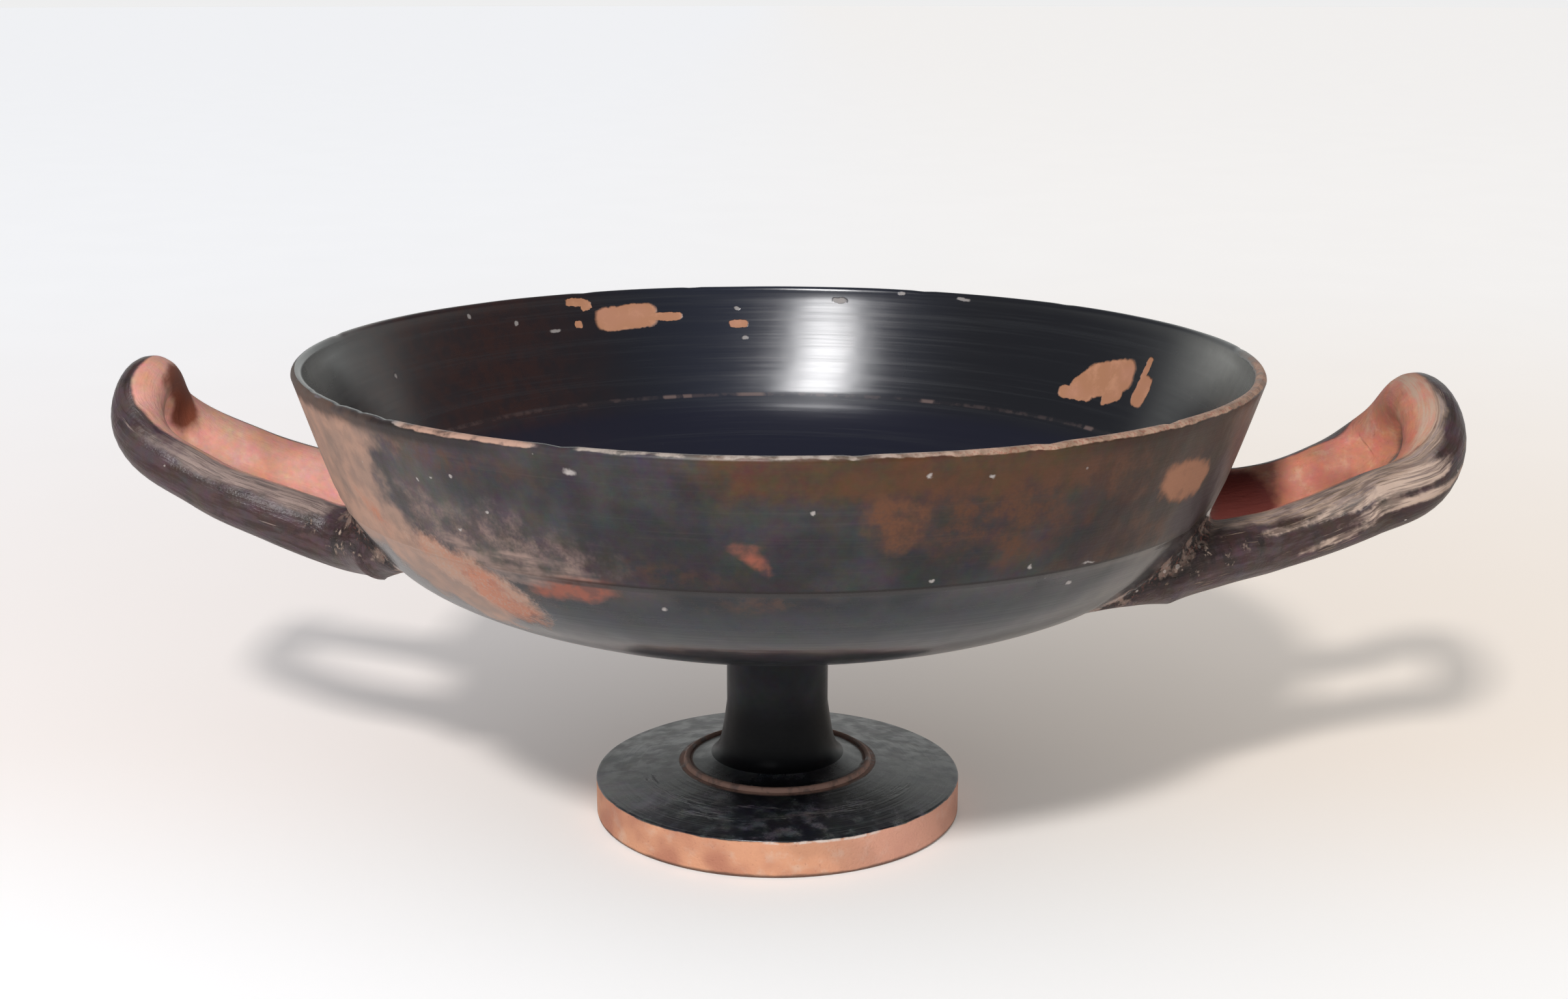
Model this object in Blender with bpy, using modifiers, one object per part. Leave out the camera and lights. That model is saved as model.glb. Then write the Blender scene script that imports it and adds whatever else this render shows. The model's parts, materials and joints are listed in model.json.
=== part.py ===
"""Greek kylix: a stemmed drinking cup of fired clay with two looped handles.

The real cup is fired as one piece, so it is one solid here. Foot, stem, bowl and lip are
one profile spun about the cup's axis, and each handle is a roll of clay bent into a loop
and pressed onto the bowl just under its lip. The bowl is hollow, and so is the foot.

Metres, +Z up. The cup stands on z = 0 with its handles along X. The turned axis stands
slightly to the left of the origin, so that the box round both handles is centred on it.
"""

import math

import bmesh
import bpy
from mathutils import Matrix, Vector

OBJECT_NAME = "kylix"
SEGMENTS = 64
HOLLOW_SEGMENTS = 32
MERGE_DISTANCE = 0.00001
SHARP_ANGLE = math.radians(35)

# Place of the turned axis, and the lean of the bowl towards the right-hand handle.
AXIS_X = -0.0001
LEAN = math.radians(0.32)
WAIST_HEIGHT = 0.026

# Foot: a flat disc with an upright edge and a thin raised ring round the stem.
FOOT_RADIUS = 0.0370
FOOT_EDGE_HEIGHT = 0.0075
FOOT_BEVEL = 0.0006
RING_RADIUS = 0.0190
RING_WIDTH = 0.0012
RING_HEIGHT = 0.0007
FOOT_CROWN_HEIGHT = 0.0105

# Stem.
STEM_RADIUS = 0.0103
STEM_TOP_HEIGHT = 0.0325
STEM_FLARE_HEIGHT = 0.0230

# Bowl, outside: from the small step under the lip to the top of the stem.
JOINT_RADIUS = 0.0852
JOINT_HEIGHT = 0.0701
JOINT_STEP = 0.0005
BOWL_PULL_UPPER = (0.0756, 0.0541)
BOWL_PULL_LOWER = (0.0700, 0.0506)
BOWL_BASE_RADIUS = 0.0125
BOWL_BASE_HEIGHT = 0.0368

# Lip: a hollow-sided band that flares to the rim.
RIM_RADIUS = 0.0930
RIM_HEIGHT = 0.0942
RIM_THICKNESS = 0.0024
LIP_PULL = (0.0893, 0.0816)

# Bowl, inside: the ledge behind the lip and the floor below it.
LIP_PULL_UPPER = (0.0868, 0.0826)
LIP_PULL_LOWER = (0.0838, 0.0760)
LEDGE_RADIUS = 0.0800
LEDGE_HEIGHT = 0.0706
LEDGE_WIDTH = 0.0011
FLOOR_PULL_UPPER = (0.0700, 0.0570)
FLOOR_PULL_LOWER = (0.0460, 0.0466)
FLOOR_HEIGHT = 0.0454

# Hollow under the foot: a cone that narrows into the stem.
HOLLOW_MOUTH_RADIUS = 0.0190
HOLLOW_SHOULDER = (0.0125, 0.0075)
HOLLOW_NECK = (0.0052, 0.0160)
HOLLOW_TOP_HEIGHT = 0.0260

# Handles: half of each loop from its root to its tip, as (reach from the axis, half
# width, height, radius of the clay roll). The other half is its mirror image. The roll is
# thicker at its root, and its end is drawn out to a tongue along the bowl. The left handle
# was set on a little behind the other and slightly askew.
LEFT_LOOP = (
    (0.0664, 0.0350, 0.0588, 0.0025),
    (0.0715, 0.0278, 0.0595, 0.0068),
    (0.0823, 0.0188, 0.0589, 0.0063),
    (0.0958, 0.0186, 0.0634, 0.0058),
    (0.1103, 0.0164, 0.0688, 0.0053),
    (0.1254, 0.0098, 0.0783, 0.0052),
    (0.1262, 0.0000, 0.0867, 0.0050),
)
LEFT_TURN = math.radians(5.0)
LEFT_TWIST = math.radians(3.0)
RIGHT_LOOP = (
    (0.0600, 0.0390, 0.0562, 0.0025),
    (0.0700, 0.0315, 0.0590, 0.0068),
    (0.0820, 0.0250, 0.0604, 0.0064),
    (0.0953, 0.0176, 0.0612, 0.0059),
    (0.1118, 0.0150, 0.0668, 0.0062),
    (0.1226, 0.0165, 0.0735, 0.0060),
    (0.1260, 0.0000, 0.0843, 0.0057),
)
ROLL_SIDES_RESOLUTION = 4
ROLL_STEPS = 4


def bezier(start, pull_start, pull_end, end, steps):
    """Points along a cubic curve, both ends included."""
    points = []
    for step in range(steps + 1):
        t = step / steps
        weights = ((1 - t) ** 3, 3 * (1 - t) ** 2 * t, 3 * (1 - t) * t ** 2, t ** 3)
        corners = (start, pull_start, pull_end, end)
        radius = sum(weight * corner[0] for weight, corner in zip(weights, corners))
        height = sum(weight * corner[1] for weight, corner in zip(weights, corners))
        points.append((radius, height))
    return points


def arc(centre, radius, start_degrees, end_degrees, steps):
    """Points along a circular arc in the profile plane, both ends included."""
    points = []
    for step in range(steps + 1):
        angle = math.radians(start_degrees + (end_degrees - start_degrees) * step / steps)
        points.append((centre[0] + radius * math.cos(angle), centre[1] + radius * math.sin(angle)))
    return points


def rim_profile():
    """The rounded rim, from its top to its outer side."""
    half = RIM_THICKNESS / 2
    centre = (RIM_RADIUS - half, RIM_HEIGHT - half)
    return arc(centre, half, 90, 0, 3)


def lip_profile():
    """The hollow outer side of the lip, from the rim down to the step above the bowl."""
    start = (RIM_RADIUS, RIM_HEIGHT - RIM_THICKNESS / 2)
    end = (JOINT_RADIUS, JOINT_HEIGHT)
    return bezier(start, LIP_PULL, LIP_PULL, end, 5)[1:]


def bowl_profile():
    """The underside of the bowl, from the step to the small curve into the stem."""
    step_inner = (JOINT_RADIUS - JOINT_STEP, JOINT_HEIGHT - JOINT_STEP)
    base = (BOWL_BASE_RADIUS, BOWL_BASE_HEIGHT)
    under = bezier(step_inner, BOWL_PULL_UPPER, BOWL_PULL_LOWER, base, 9)
    neck = (STEM_RADIUS, BOWL_BASE_HEIGHT - JOINT_STEP)
    stem_top = (STEM_RADIUS, STEM_TOP_HEIGHT)
    return under + bezier(base, neck, neck, stem_top, 3)[1:]


def stem_profile():
    """The stem and its flare down to the raised ring on the foot."""
    flare_start = (STEM_RADIUS, STEM_FLARE_HEIGHT)
    pull = (STEM_RADIUS + 0.0015, FOOT_CROWN_HEIGHT + 0.0015)
    ring_inner = (RING_RADIUS - RING_WIDTH, FOOT_CROWN_HEIGHT)
    return [flare_start] + bezier(flare_start, pull, pull, ring_inner, 6)[1:]


def foot_profile():
    """The raised ring, the sloping top of the foot, its upright edge and the resting face."""
    ring = arc((RING_RADIUS - RING_WIDTH / 2, FOOT_CROWN_HEIGHT), RING_HEIGHT, 150, 20, 3)
    after_ring = (RING_RADIUS + 0.0002, FOOT_CROWN_HEIGHT - 0.0002)
    edge_top = (FOOT_RADIUS - FOOT_BEVEL, FOOT_EDGE_HEIGHT + FOOT_BEVEL / 2)
    edge_upper = (FOOT_RADIUS, FOOT_EDGE_HEIGHT - FOOT_BEVEL / 2)
    edge_lower = (FOOT_RADIUS, FOOT_BEVEL)
    edge_bottom = (FOOT_RADIUS - FOOT_BEVEL, 0.0)
    return ring + [after_ring, edge_top, edge_upper, edge_lower, edge_bottom]


def outer_profile():
    """The whole outside of the turned cup, from the axis at the top to the axis below."""
    outside = rim_profile() + lip_profile() + bowl_profile() + stem_profile() + foot_profile()
    return [(0.0, RIM_HEIGHT)] + outside + [(0.0, 0.0)]


def cavity_profile():
    """The space inside the bowl, from above the rim to the middle of its floor."""
    half = RIM_THICKNESS / 2
    rim_centre = (RIM_RADIUS - half, RIM_HEIGHT - half)
    above = RIM_HEIGHT + 0.010
    mouth = arc(rim_centre, half, 90, 180, 3)
    mouth_edge = (mouth[0][0] - 0.0001, mouth[0][1])
    lip_inner = bezier(mouth[-1], LIP_PULL_UPPER, LIP_PULL_LOWER, (LEDGE_RADIUS, LEDGE_HEIGHT), 5)[1:]
    floor_start = (LEDGE_RADIUS - LEDGE_WIDTH, LEDGE_HEIGHT - LEDGE_WIDTH)
    floor = bezier(floor_start, FLOOR_PULL_UPPER, FLOOR_PULL_LOWER, (0.0, FLOOR_HEIGHT), 9)
    return [(0.0, above), (mouth_edge[0], above), mouth_edge] + mouth[1:] + lip_inner + floor


def hollow_profile():
    """The space under the foot, from its top in the stem to below the resting face."""
    top = (0.0, HOLLOW_TOP_HEIGHT)
    mouth = (HOLLOW_MOUTH_RADIUS, 0.0)
    cone = bezier(top, (0.0045, HOLLOW_TOP_HEIGHT), HOLLOW_NECK, HOLLOW_SHOULDER, 4)
    below = -0.005
    return cone + [mouth, (HOLLOW_MOUTH_RADIUS, below), (0.0, below)]


def make_material(name, colour, roughness):
    """A plain Principled material."""
    material = bpy.data.materials.new(name)
    material.use_nodes = True
    shader = material.node_tree.nodes["Principled BSDF"]
    shader.inputs["Base Color"].default_value = (*colour, 1.0)
    shader.inputs["Roughness"].default_value = roughness
    shader.inputs["Metallic"].default_value = 0.0
    material.diffuse_color = (*colour, 1.0)
    return material


def baked(obj, name):
    """Replace an object by a plain mesh of what its modifiers or bevel make of it."""
    bpy.context.view_layer.update()
    evaluated = obj.evaluated_get(bpy.context.evaluated_depsgraph_get())
    mesh = bpy.data.meshes.new_from_object(evaluated)
    shape = bmesh.new()
    shape.from_mesh(mesh)
    bmesh.ops.remove_doubles(shape, verts=shape.verts, dist=MERGE_DISTANCE)
    shape.to_mesh(mesh)
    shape.free()
    place_in_world = obj.matrix_world.copy()
    remove_with_data(obj)
    mesh.name = name
    solid = bpy.data.objects.new(name, mesh)
    solid.matrix_world = place_in_world
    bpy.context.scene.collection.objects.link(solid)
    return solid


def remove_with_data(obj):
    """Remove an object together with its mesh or curve."""
    data = obj.data
    bpy.data.objects.remove(obj)
    if isinstance(data, bpy.types.Curve):
        bpy.data.curves.remove(data)
    else:
        bpy.data.meshes.remove(data)


def turned(name, profile, segments):
    """Spin a profile of (radius, height) points about +Z into a closed solid."""
    mesh = bpy.data.meshes.new(name)
    points = [(radius, 0.0, height) for radius, height in profile]
    edges = [(index, index + 1) for index in range(len(points) - 1)]
    mesh.from_pydata(points, edges, [])
    obj = bpy.data.objects.new(name, mesh)
    bpy.context.scene.collection.objects.link(obj)
    spin = obj.modifiers.new("Spin", "SCREW")
    spin.axis = "Z"
    spin.angle = math.tau
    spin.steps = segments
    spin.render_steps = segments
    spin.use_merge_vertices = True
    spin.merge_threshold = MERGE_DISTANCE
    return baked(obj, name)


def lean_bowl(mesh):
    """Tip all that is above the stem's waist slightly towards +X."""
    shape = bmesh.new()
    shape.from_mesh(mesh)
    upper = [vertex for vertex in shape.verts if vertex.co.z > WAIST_HEIGHT]
    turn = Matrix.Rotation(LEAN, 3, "Y")
    bmesh.ops.rotate(shape, verts=upper, cent=Vector((0.0, 0.0, WAIST_HEIGHT)), matrix=turn)
    shape.to_mesh(mesh)
    shape.free()


def handle(name, half_loop, side, turn=0.0, twist=0.0):
    """A round roll of clay along a loop; side is -1 for the left handle and 1 for the right.

    turn swings the loop backwards about the axis, and twist lifts its near arm and drops
    its far arm.
    """
    near = [(reach, -width, height, radius) for reach, width, height, radius in half_loop]
    far = [(reach, -across, height, radius) for reach, across, height, radius in reversed(near[:-1])]
    points = []
    for reach, across, height, radius in near + far:
        x = side * (reach * math.cos(turn) - across * math.sin(turn))
        y = reach * math.sin(turn) + across * math.cos(turn)
        points.append((x, y, height - across * math.tan(twist), radius))
    curve = bpy.data.curves.new(name, "CURVE")
    curve.dimensions = "3D"
    curve.bevel_depth = 1.0
    curve.bevel_resolution = ROLL_SIDES_RESOLUTION
    curve.resolution_u = ROLL_STEPS
    curve.use_fill_caps = True
    spline = curve.splines.new("BEZIER")
    spline.bezier_points.add(len(points) - 1)
    for bezier_point, (x, y, z, radius) in zip(spline.bezier_points, points):
        bezier_point.co = (x, y, z)
        bezier_point.handle_left_type = "AUTO"
        bezier_point.handle_right_type = "AUTO"
        bezier_point.radius = radius
    obj = bpy.data.objects.new(name, curve)
    bpy.context.scene.collection.objects.link(obj)
    return baked(obj, name)


def add_boolean(obj, operation, tool):
    """Join another solid to an object, or cut it away."""
    boolean = obj.modifiers.new(f"{operation.title()} {tool.name}", "BOOLEAN")
    boolean.operation = operation
    boolean.object = tool
    boolean.solver = "EXACT"


def show_bare_clay(mesh):
    """Leave the upright edge of the foot unglossed, as the potter did."""
    for polygon in mesh.polygons:
        on_edge = math.hypot(polygon.center.x, polygon.center.y) > FOOT_RADIUS - FOOT_BEVEL
        if on_edge and polygon.center.z < FOOT_EDGE_HEIGHT:
            polygon.material_index = 1


def main():
    for obj in list(bpy.data.objects):
        bpy.data.objects.remove(obj)

    cup = turned(OBJECT_NAME, outer_profile(), SEGMENTS)
    lean_bowl(cup.data)
    left = handle("left handle roll", LEFT_LOOP, -1, LEFT_TURN, LEFT_TWIST)
    right = handle("right handle roll", RIGHT_LOOP, 1)
    cavity = turned("bowl cavity", cavity_profile(), SEGMENTS)
    lean_bowl(cavity.data)
    hollow = turned("foot hollow", hollow_profile(), HOLLOW_SEGMENTS)

    add_boolean(cup, "UNION", left)
    add_boolean(cup, "UNION", right)
    add_boolean(cup, "DIFFERENCE", cavity)
    add_boolean(cup, "DIFFERENCE", hollow)
    cup = baked(cup, OBJECT_NAME)
    for tool in (left, right, cavity, hollow):
        remove_with_data(tool)

    cup.data.materials.append(make_material("Black gloss", (0.022, 0.018, 0.017), 0.28))
    cup.data.materials.append(make_material("Bare clay", (0.52, 0.22, 0.12), 0.75))
    show_bare_clay(cup.data)
    cup.data.shade_smooth()
    cup.data.set_sharp_from_angle(angle=SHARP_ANGLE)

    collection = bpy.data.collections.new("Greek kylix")
    bpy.context.scene.collection.children.link(collection)
    bpy.context.scene.collection.objects.unlink(cup)
    collection.objects.link(cup)
    cup.location.x = AXIS_X


main()
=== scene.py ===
"""Looks of a Greek kylix: the surface of the black-glossed clay cup, its wear, and a plain studio.

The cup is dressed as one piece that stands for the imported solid. Its turned body is a
profile spun on the wheel's axis, its handles are rolls of clay bent into loops and joined
on, and its gloss, bare clay, flakes and worn bands are materials made of nodes.

Metres, +Z up. The sizes of the profile and of the loops are those of the solid.
"""

import json
import math

import bpy
import numpy as np
from bpy.props import FloatProperty, FloatVectorProperty, IntProperty, PointerProperty
from bpy.types import Operator, Panel, PropertyGroup
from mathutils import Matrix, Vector

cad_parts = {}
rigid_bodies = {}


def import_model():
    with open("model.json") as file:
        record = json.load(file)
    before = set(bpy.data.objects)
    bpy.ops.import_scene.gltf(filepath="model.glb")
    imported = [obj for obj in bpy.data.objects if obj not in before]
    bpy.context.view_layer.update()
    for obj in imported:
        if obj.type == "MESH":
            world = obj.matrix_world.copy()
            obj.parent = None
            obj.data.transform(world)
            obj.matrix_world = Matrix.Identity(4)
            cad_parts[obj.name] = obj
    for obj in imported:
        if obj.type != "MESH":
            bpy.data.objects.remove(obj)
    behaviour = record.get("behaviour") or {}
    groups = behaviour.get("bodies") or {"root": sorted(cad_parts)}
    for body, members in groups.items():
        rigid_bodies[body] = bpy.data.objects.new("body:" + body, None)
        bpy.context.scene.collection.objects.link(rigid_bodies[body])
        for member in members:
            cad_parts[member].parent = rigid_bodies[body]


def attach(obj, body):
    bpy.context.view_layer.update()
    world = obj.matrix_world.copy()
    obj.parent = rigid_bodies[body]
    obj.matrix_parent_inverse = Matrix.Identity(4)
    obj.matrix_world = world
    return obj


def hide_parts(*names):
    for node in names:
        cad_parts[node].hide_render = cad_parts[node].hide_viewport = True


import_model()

bl_info = {
    "name": "Greek kylix",
    "version": (1, 0, 0),
    "blender": (4, 5, 0),
    "location": "3D View > Sidebar > Kylix",
    "description": "Models and finishes a black-glossed Greek drinking cup with worn handles",
    "category": "Add Mesh",
}

NODE = "kylix"
CUP = "kylix_surface"
MERGE_DISTANCE = 0.00001
MILLIMETRE = 0.001
PER_METRE = 1000.0
# Numbers of the turned cup's finishes; the handles' finishes come after them.
INSIDE, LIP, BOWL, FOOT, STEM, TURNED_FINISHES = range(6)

# Place of the turned axis, and the lean of the bowl towards the right-hand handle.
AXIS_X = -0.0001
LEAN = math.radians(0.32)
WAIST_HEIGHT = 0.026

# Foot: a flat disc with an upright edge and a thin raised ring round the stem.
FOOT_RADIUS = 0.0370
FOOT_EDGE_HEIGHT = 0.0075
FOOT_BEVEL = 0.0006
RING_RADIUS = 0.0190
RING_WIDTH = 0.0012
RING_HEIGHT = 0.0007
RING_FALL = 0.0002
FOOT_CROWN_HEIGHT = 0.0105

# Stem.
STEM_RADIUS = 0.0103
STEM_TOP_HEIGHT = 0.0325
STEM_FLARE_HEIGHT = 0.0230
FLARE_PULL = 0.0015

# Bowl, outside: from the small step under the lip to the top of the stem.
JOINT_RADIUS = 0.0852
JOINT_HEIGHT = 0.0701
JOINT_STEP = 0.0005
BOWL_PULL_UPPER = (0.0756, 0.0541)
BOWL_PULL_LOWER = (0.0700, 0.0506)
BOWL_BASE_RADIUS = 0.0125
BOWL_BASE_HEIGHT = 0.0368

# Lip: a hollow-sided band that flares to the rim.
RIM_RADIUS = 0.0930
RIM_HEIGHT = 0.0942
RIM_THICKNESS = 0.0024
LIP_PULL = (0.0893, 0.0816)

# Bowl, inside: the ledge behind the lip and the floor below it.
LIP_PULL_UPPER = (0.0868, 0.0826)
LIP_PULL_LOWER = (0.0838, 0.0760)
LEDGE_RADIUS = 0.0800
LEDGE_HEIGHT = 0.0706
LEDGE_WIDTH = 0.0011
FLOOR_PULL_UPPER = (0.0700, 0.0570)
FLOOR_PULL_LOWER = (0.0460, 0.0466)
FLOOR_HEIGHT = 0.0454

# Hollow under the foot: a cone that narrows into the stem.
HOLLOW_MOUTH_RADIUS = 0.0190
HOLLOW_SHOULDER = (0.0125, 0.0075)
HOLLOW_NECK = (0.0052, 0.0160)
HOLLOW_TOP_PULL = 0.0045
HOLLOW_TOP_HEIGHT = 0.0260

# Handles: half of each loop from its root to its tip, as (reach from the axis, half
# width, height, radius of the clay roll). The other half is its mirror image. The first
# point is the end of the tongue, buried in the wall of the bowl. The left handle was set
# on a little behind the other and slightly askew.
LEFT_LOOP = (
    (0.0585, 0.0420, 0.0570, 0.0012),
    (0.0664, 0.0350, 0.0588, 0.0025),
    (0.0715, 0.0278, 0.0595, 0.0068),
    (0.0823, 0.0188, 0.0589, 0.0063),
    (0.0958, 0.0186, 0.0634, 0.0058),
    (0.1103, 0.0164, 0.0688, 0.0053),
    (0.1254, 0.0098, 0.0783, 0.0052),
    (0.1262, 0.0000, 0.0867, 0.0050),
)
RIGHT_LOOP = (
    (0.0500, 0.0420, 0.0540, 0.0012),
    (0.0600, 0.0390, 0.0562, 0.0025),
    (0.0700, 0.0315, 0.0590, 0.0068),
    (0.0820, 0.0250, 0.0604, 0.0064),
    (0.0953, 0.0176, 0.0612, 0.0059),
    (0.1118, 0.0150, 0.0668, 0.0062),
    (0.1226, 0.0165, 0.0735, 0.0060),
    (0.1260, 0.0000, 0.0843, 0.0057),
)
# How far each handle is swung backwards about the axis and twisted, near arm up.
HANDLE_TURNS = {-1: (math.radians(5.0), math.radians(3.0)), 1: (0.0, 0.0)}

# Making of the mesh.
PLANE_SIZE = 0.04
SKIN = 0.0001
CUT_BACK = 0.0005
CLEARANCE_RISE = 0.010
SPIN_STEPS = 400
CLEARANCE_STEPS = 96
SECTION_STEPS = 14
ROLL_STEPS = 10
INSIDE_FLATNESS = 1.06
INSIDE_SQUARENESS = 1.5
ROOT_RINGS = 5
ROOT_SMOOTHING = 24
SEAM_LEAST_RADIUS = 0.04
SEAM_BATCH = 4000
NICK_REACH = 1.6
WAVE_SIZE = 0.028
WAVE_DEPTH = 0.00022
SMOOTH_ANGLE = math.radians(40)
# Faces that look outwards by less than the first are on an inner side, and those that look
# upwards by less than the second are on an under side.
FACING_IN = 0.2
FACING_DOWN = 0.1

# Arcs along the walls are measured in millimetres at this radius, which is near the rim's.
ARC_RADIUS = 90.0
FIELD_REACH = 12.0
FAR_FROM_SEAM = 99.0
ROUNDNESS = 2.4

# Finishes: how bright each gloss is, and which sockets of the shared groups aren't numbers.
GLOSS_IOR = 1.52
LIP_GLOSS = 0.16
BOWL_GLOSS = 0.35
STEM_GLOSS = 0.10
HANDLE_GLOSS = 0.2
PLACES = ("Place", "Centre", "Half size", "Shift", "Fine shift", "Plan", "Front wall", "Back wall")
COLOURS = ("Clay", "Pale", "Deep", "Ground", "Colour")

# Small chips in the rim: (place along the front arc, half width, depth), in millimetres.
RIM_NICKS = (
    (-98.5, 1.8, 0.2), (-86.2, 2.2, 0.3), (-77.8, 1.6, 0.25), (-70.8, 2.0, 0.3), (-34.0, 3.0, 0.3),
    (12.0, 2.4, 0.25), (44.0, 3.0, 0.3), (71.0, 2.2, 0.35), (-236.0, 2.6, 0.15), (-262.0, 2.2, 0.15),
    (249.0, 2.8, 0.15), (213.0, 2.4, 0.12), (150.0, 2.0, 0.2), (-160.0, 2.4, 0.2),
)

# Patches of wear: (centre along the arc, centre height, half length, half height, turn), in
# millimetres and the turn in degrees. Inside the bowl the arc starts behind, outside in front.
INSIDE_FLAKES = (
    (-37.2, 88.2, 7.6, 2.7, 2), (-27.8, 87.9, 4.2, 0.9, 0), (-49.0, 92.2, 2.8, 0.9, -4),
    (-46.8, 91.2, 1.3, 0.9, 20), (-49.4, 87.4, 1.0, 0.7, 0), (-10.0, 85.9, 2.2, 0.9, 0),
    (89.6, 80.8, 7.6, 3.7, 14), (81.0, 76.4, 5.4, 1.3, 0), (92.4, 77.9, 3.2, 2.0, 20),
    (82.8, 79.4, 4.6, 2.3, 38),
    (101.8, 79.9, 2.5, 3.1, -6), (100.6, 84.4, 1.0, 2.4, -8),
)
INSIDE_DOTS = (
    (-55.8, 86.5, 1.2, 0.4, 0), (-10.2, 89.3, 0.8, 0.4, 0), (-8.5, 82.7, 0.8, 0.4, 0),
    (-78.2, 91.6, 0.5, 0.5, 0), (-65.6, 88.9, 0.5, 0.5, 0), (-107.6, 83.2, 0.5, 0.5, 0),
    (14.3, 91.2, 1.6, 0.6, 0), (28.7, 93.5, 0.9, 0.4, 0), (44.1, 92.9, 1.6, 0.4, 0),
)
LEDGE_WEAR = (
    (-29.2, 70.4, 1.4, 1.4, 0), (-24.3, 70.4, 1.2, 1.4, 0), (-7.4, 70.4, 3.6, 1.4, 0),
    (39.8, 70.4, 1.6, 1.4, 0), (90.3, 70.4, 1.6, 1.4, 0),
)
THIN_GLOSS = ((19.0, 83.4, 4.8, 3.4, -6), (19.8, 80.8, 3.4, 3.2, 0))
BROWN_FADES = (
    (27.0, 88.6, 9.0, 1.8, -6), (38.0, 86.4, 9.0, 2.4, -8), (41.0, 82.4, 8.0, 2.8, -14),
    (36.0, 77.8, 5.5, 1.6, -8), (32.5, 83.4, 5.0, 2.2, 0), (30.0, 81.0, 3.6, 1.8, 10),
    (55.0, 87.5, 12.0, 2.4, -6),
)
FADED_GLOSS = (
    (-104.0, 84.0, 27.0, 16.0, -10), (-85.0, 90.6, 12.0, 3.6, 0), (-77.0, 69.4, 10.0, 7.6, -30),
    (-66.0, 63.5, 11.0, 5.8, -30),
)
DUSTY_GLOSS = (
    (-66.0, 78.6, 5.0, 4.0, -15), (-57.0, 76.8, 7.0, 2.8, -15), (-48.0, 76.4, 6.0, 3.6, -20),
    (-60.0, 74.6, 8.0, 2.8, -18), (-52.0, 73.0, 8.0, 2.0, -8), (-38.0, 74.0, 6.0, 2.6, -10),
)
DUST_LINES = (
    (-46.0, 70.5, 9.0, 1.0, 0), (-57.5, 72.8, 4.5, 0.9, -14), (-37.0, 70.9, 4.4, 0.7, 0),
    (-45.0, 73.2, 5.0, 0.5, -4), (-48.0, 69.0, 4.0, 0.8, -8),
)
RED_STAINS = (
    (-35.8, 68.4, 6.6, 2.2, 5), (-42.6, 66.9, 2.4, 0.9, -14), (-5.5, 78.2, 1.8, 0.7, 0),
    (-4.0, 76.4, 1.9, 1.1, -30), (-2.4, 74.9, 1.6, 0.7, -40),
)
FLUSHES = (
    (-44.6, 67.0, 3.4, 1.6, -14), (-17.0, 72.8, 5.0, 1.2, -6), (-30.0, 69.4, 5.0, 0.9, 0),
    (-1.5, 68.0, 5.0, 1.2, 6), (60.0, 71.2, 4.0, 0.8, 0), (74.0, 74.0, 9.0, 3.0, -20),
    (100.0, 88.0, 9.0, 4.0, -40), (-60.0, 90.0, 14.0, 2.0, -8),
)
BARE_CLAY = (
    (-65.8, 69.0, 8.2, 3.7, -22), (-56.4, 65.3, 9.6, 4.5, -26), (-84.0, 74.5, 3.4, 1.6, -30),
)
RUBBED_TAN = ((79.4, 82.6, 7.4, 3.6, -8), (84.6, 81.6, 4.2, 2.4, -10))
ROOT_SHADE = ((88.5, 74.0, 7.0, 4.4, -15), (97.0, 78.5, 6.0, 4.0, -50), (104.0, 84.0, 4.0, 3.0, -50))
WEAR_FIELDS = {"thin": THIN_GLOSS, "browned": BROWN_FADES, "faded": FADED_GLOSS,
               "dusty": DUSTY_GLOSS, "dust line": DUST_LINES, "stained": RED_STAINS,
               "flushed": FLUSHES, "bare": BARE_CLAY, "rubbed": RUBBED_TAN, "root shade": ROOT_SHADE}
# Wear on the handles, and painted shade inside their loops, left (-1) and right (1): (place along the
# roll, place round it, half length, half width, turn). The place round the roll is counted in steps
# of ten degrees from the inside of the loop, up over the crest: 0 is the inside, 9 the crest and 18
# the outside.
ROUND_STEP = 10.0
HANDLE_FIELDS = {
    "crest wear": {
        -1: ((57.0, 11.2, 18.0, 2.4, 3), (44.0, 11.6, 7.0, 2.4, 0), (66.0, 10.0, 9.0, 1.4, 4)),
        1: ((46.0, 9.9, 13.0, 2.1, 3), (64.0, 11.2, 14.0, 2.4, 7), (78.0, 11.6, 8.0, 2.8, -8),
            (88.0, 8.8, 7.0, 2.6, -20), (98.0, 7.0, 8.0, 2.4, -10), (109.0, 5.6, 8.0, 2.2, -6),
            (34.0, 9.4, 7.0, 1.8, 0)),
    },
    "side wear": {
        -1: (),
        1: ((66.0, 15.0, 10.0, 0.9, 4), (80.0, 15.2, 6.0, 1.9, -8), (78.0, 18.8, 10.0, 1.0, 5),
            (62.0, 19.8, 7.0, 0.6, 0), (54.0, 14.4, 6.0, 0.6, 0)),
    },
    # Painted shade on the inner faces of the loops, where the tip and the lip cast shadow.
    "deep clay": {
        -1: ((103.0, -0.4, 10.5, 4.4, 0),),
        1: ((170.0, 0.0, 20.5, 8.5, 0), (20.0, 0.0, 28.0, 8.5, 0)),
    },
}
LIP_CHIPS = (
    (-32.4, 89.8, 0.8, 0.6, 0), (-57.7, 76.5, 0.36, 0.25, 0), (-50.2, 80.8, 0.28, 0.2, 0),
    (-61.0, 85.6, 0.28, 0.2, 0), (-56.1, 86.2, 0.28, 0.2, 0), (-64.6, 84.5, 0.25, 0.2, 0),
    (5.3, 84.6, 0.4, 0.35, 0), (23.3, 90.4, 0.4, 0.35, 0), (33.5, 89.5, 0.5, 0.3, 0),
    (26.3, 71.7, 0.4, 0.35, 0), (44.9, 72.2, 0.4, 0.35, 0), (58.4, 70.8, 1.4, 0.2, 0),
)
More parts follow.
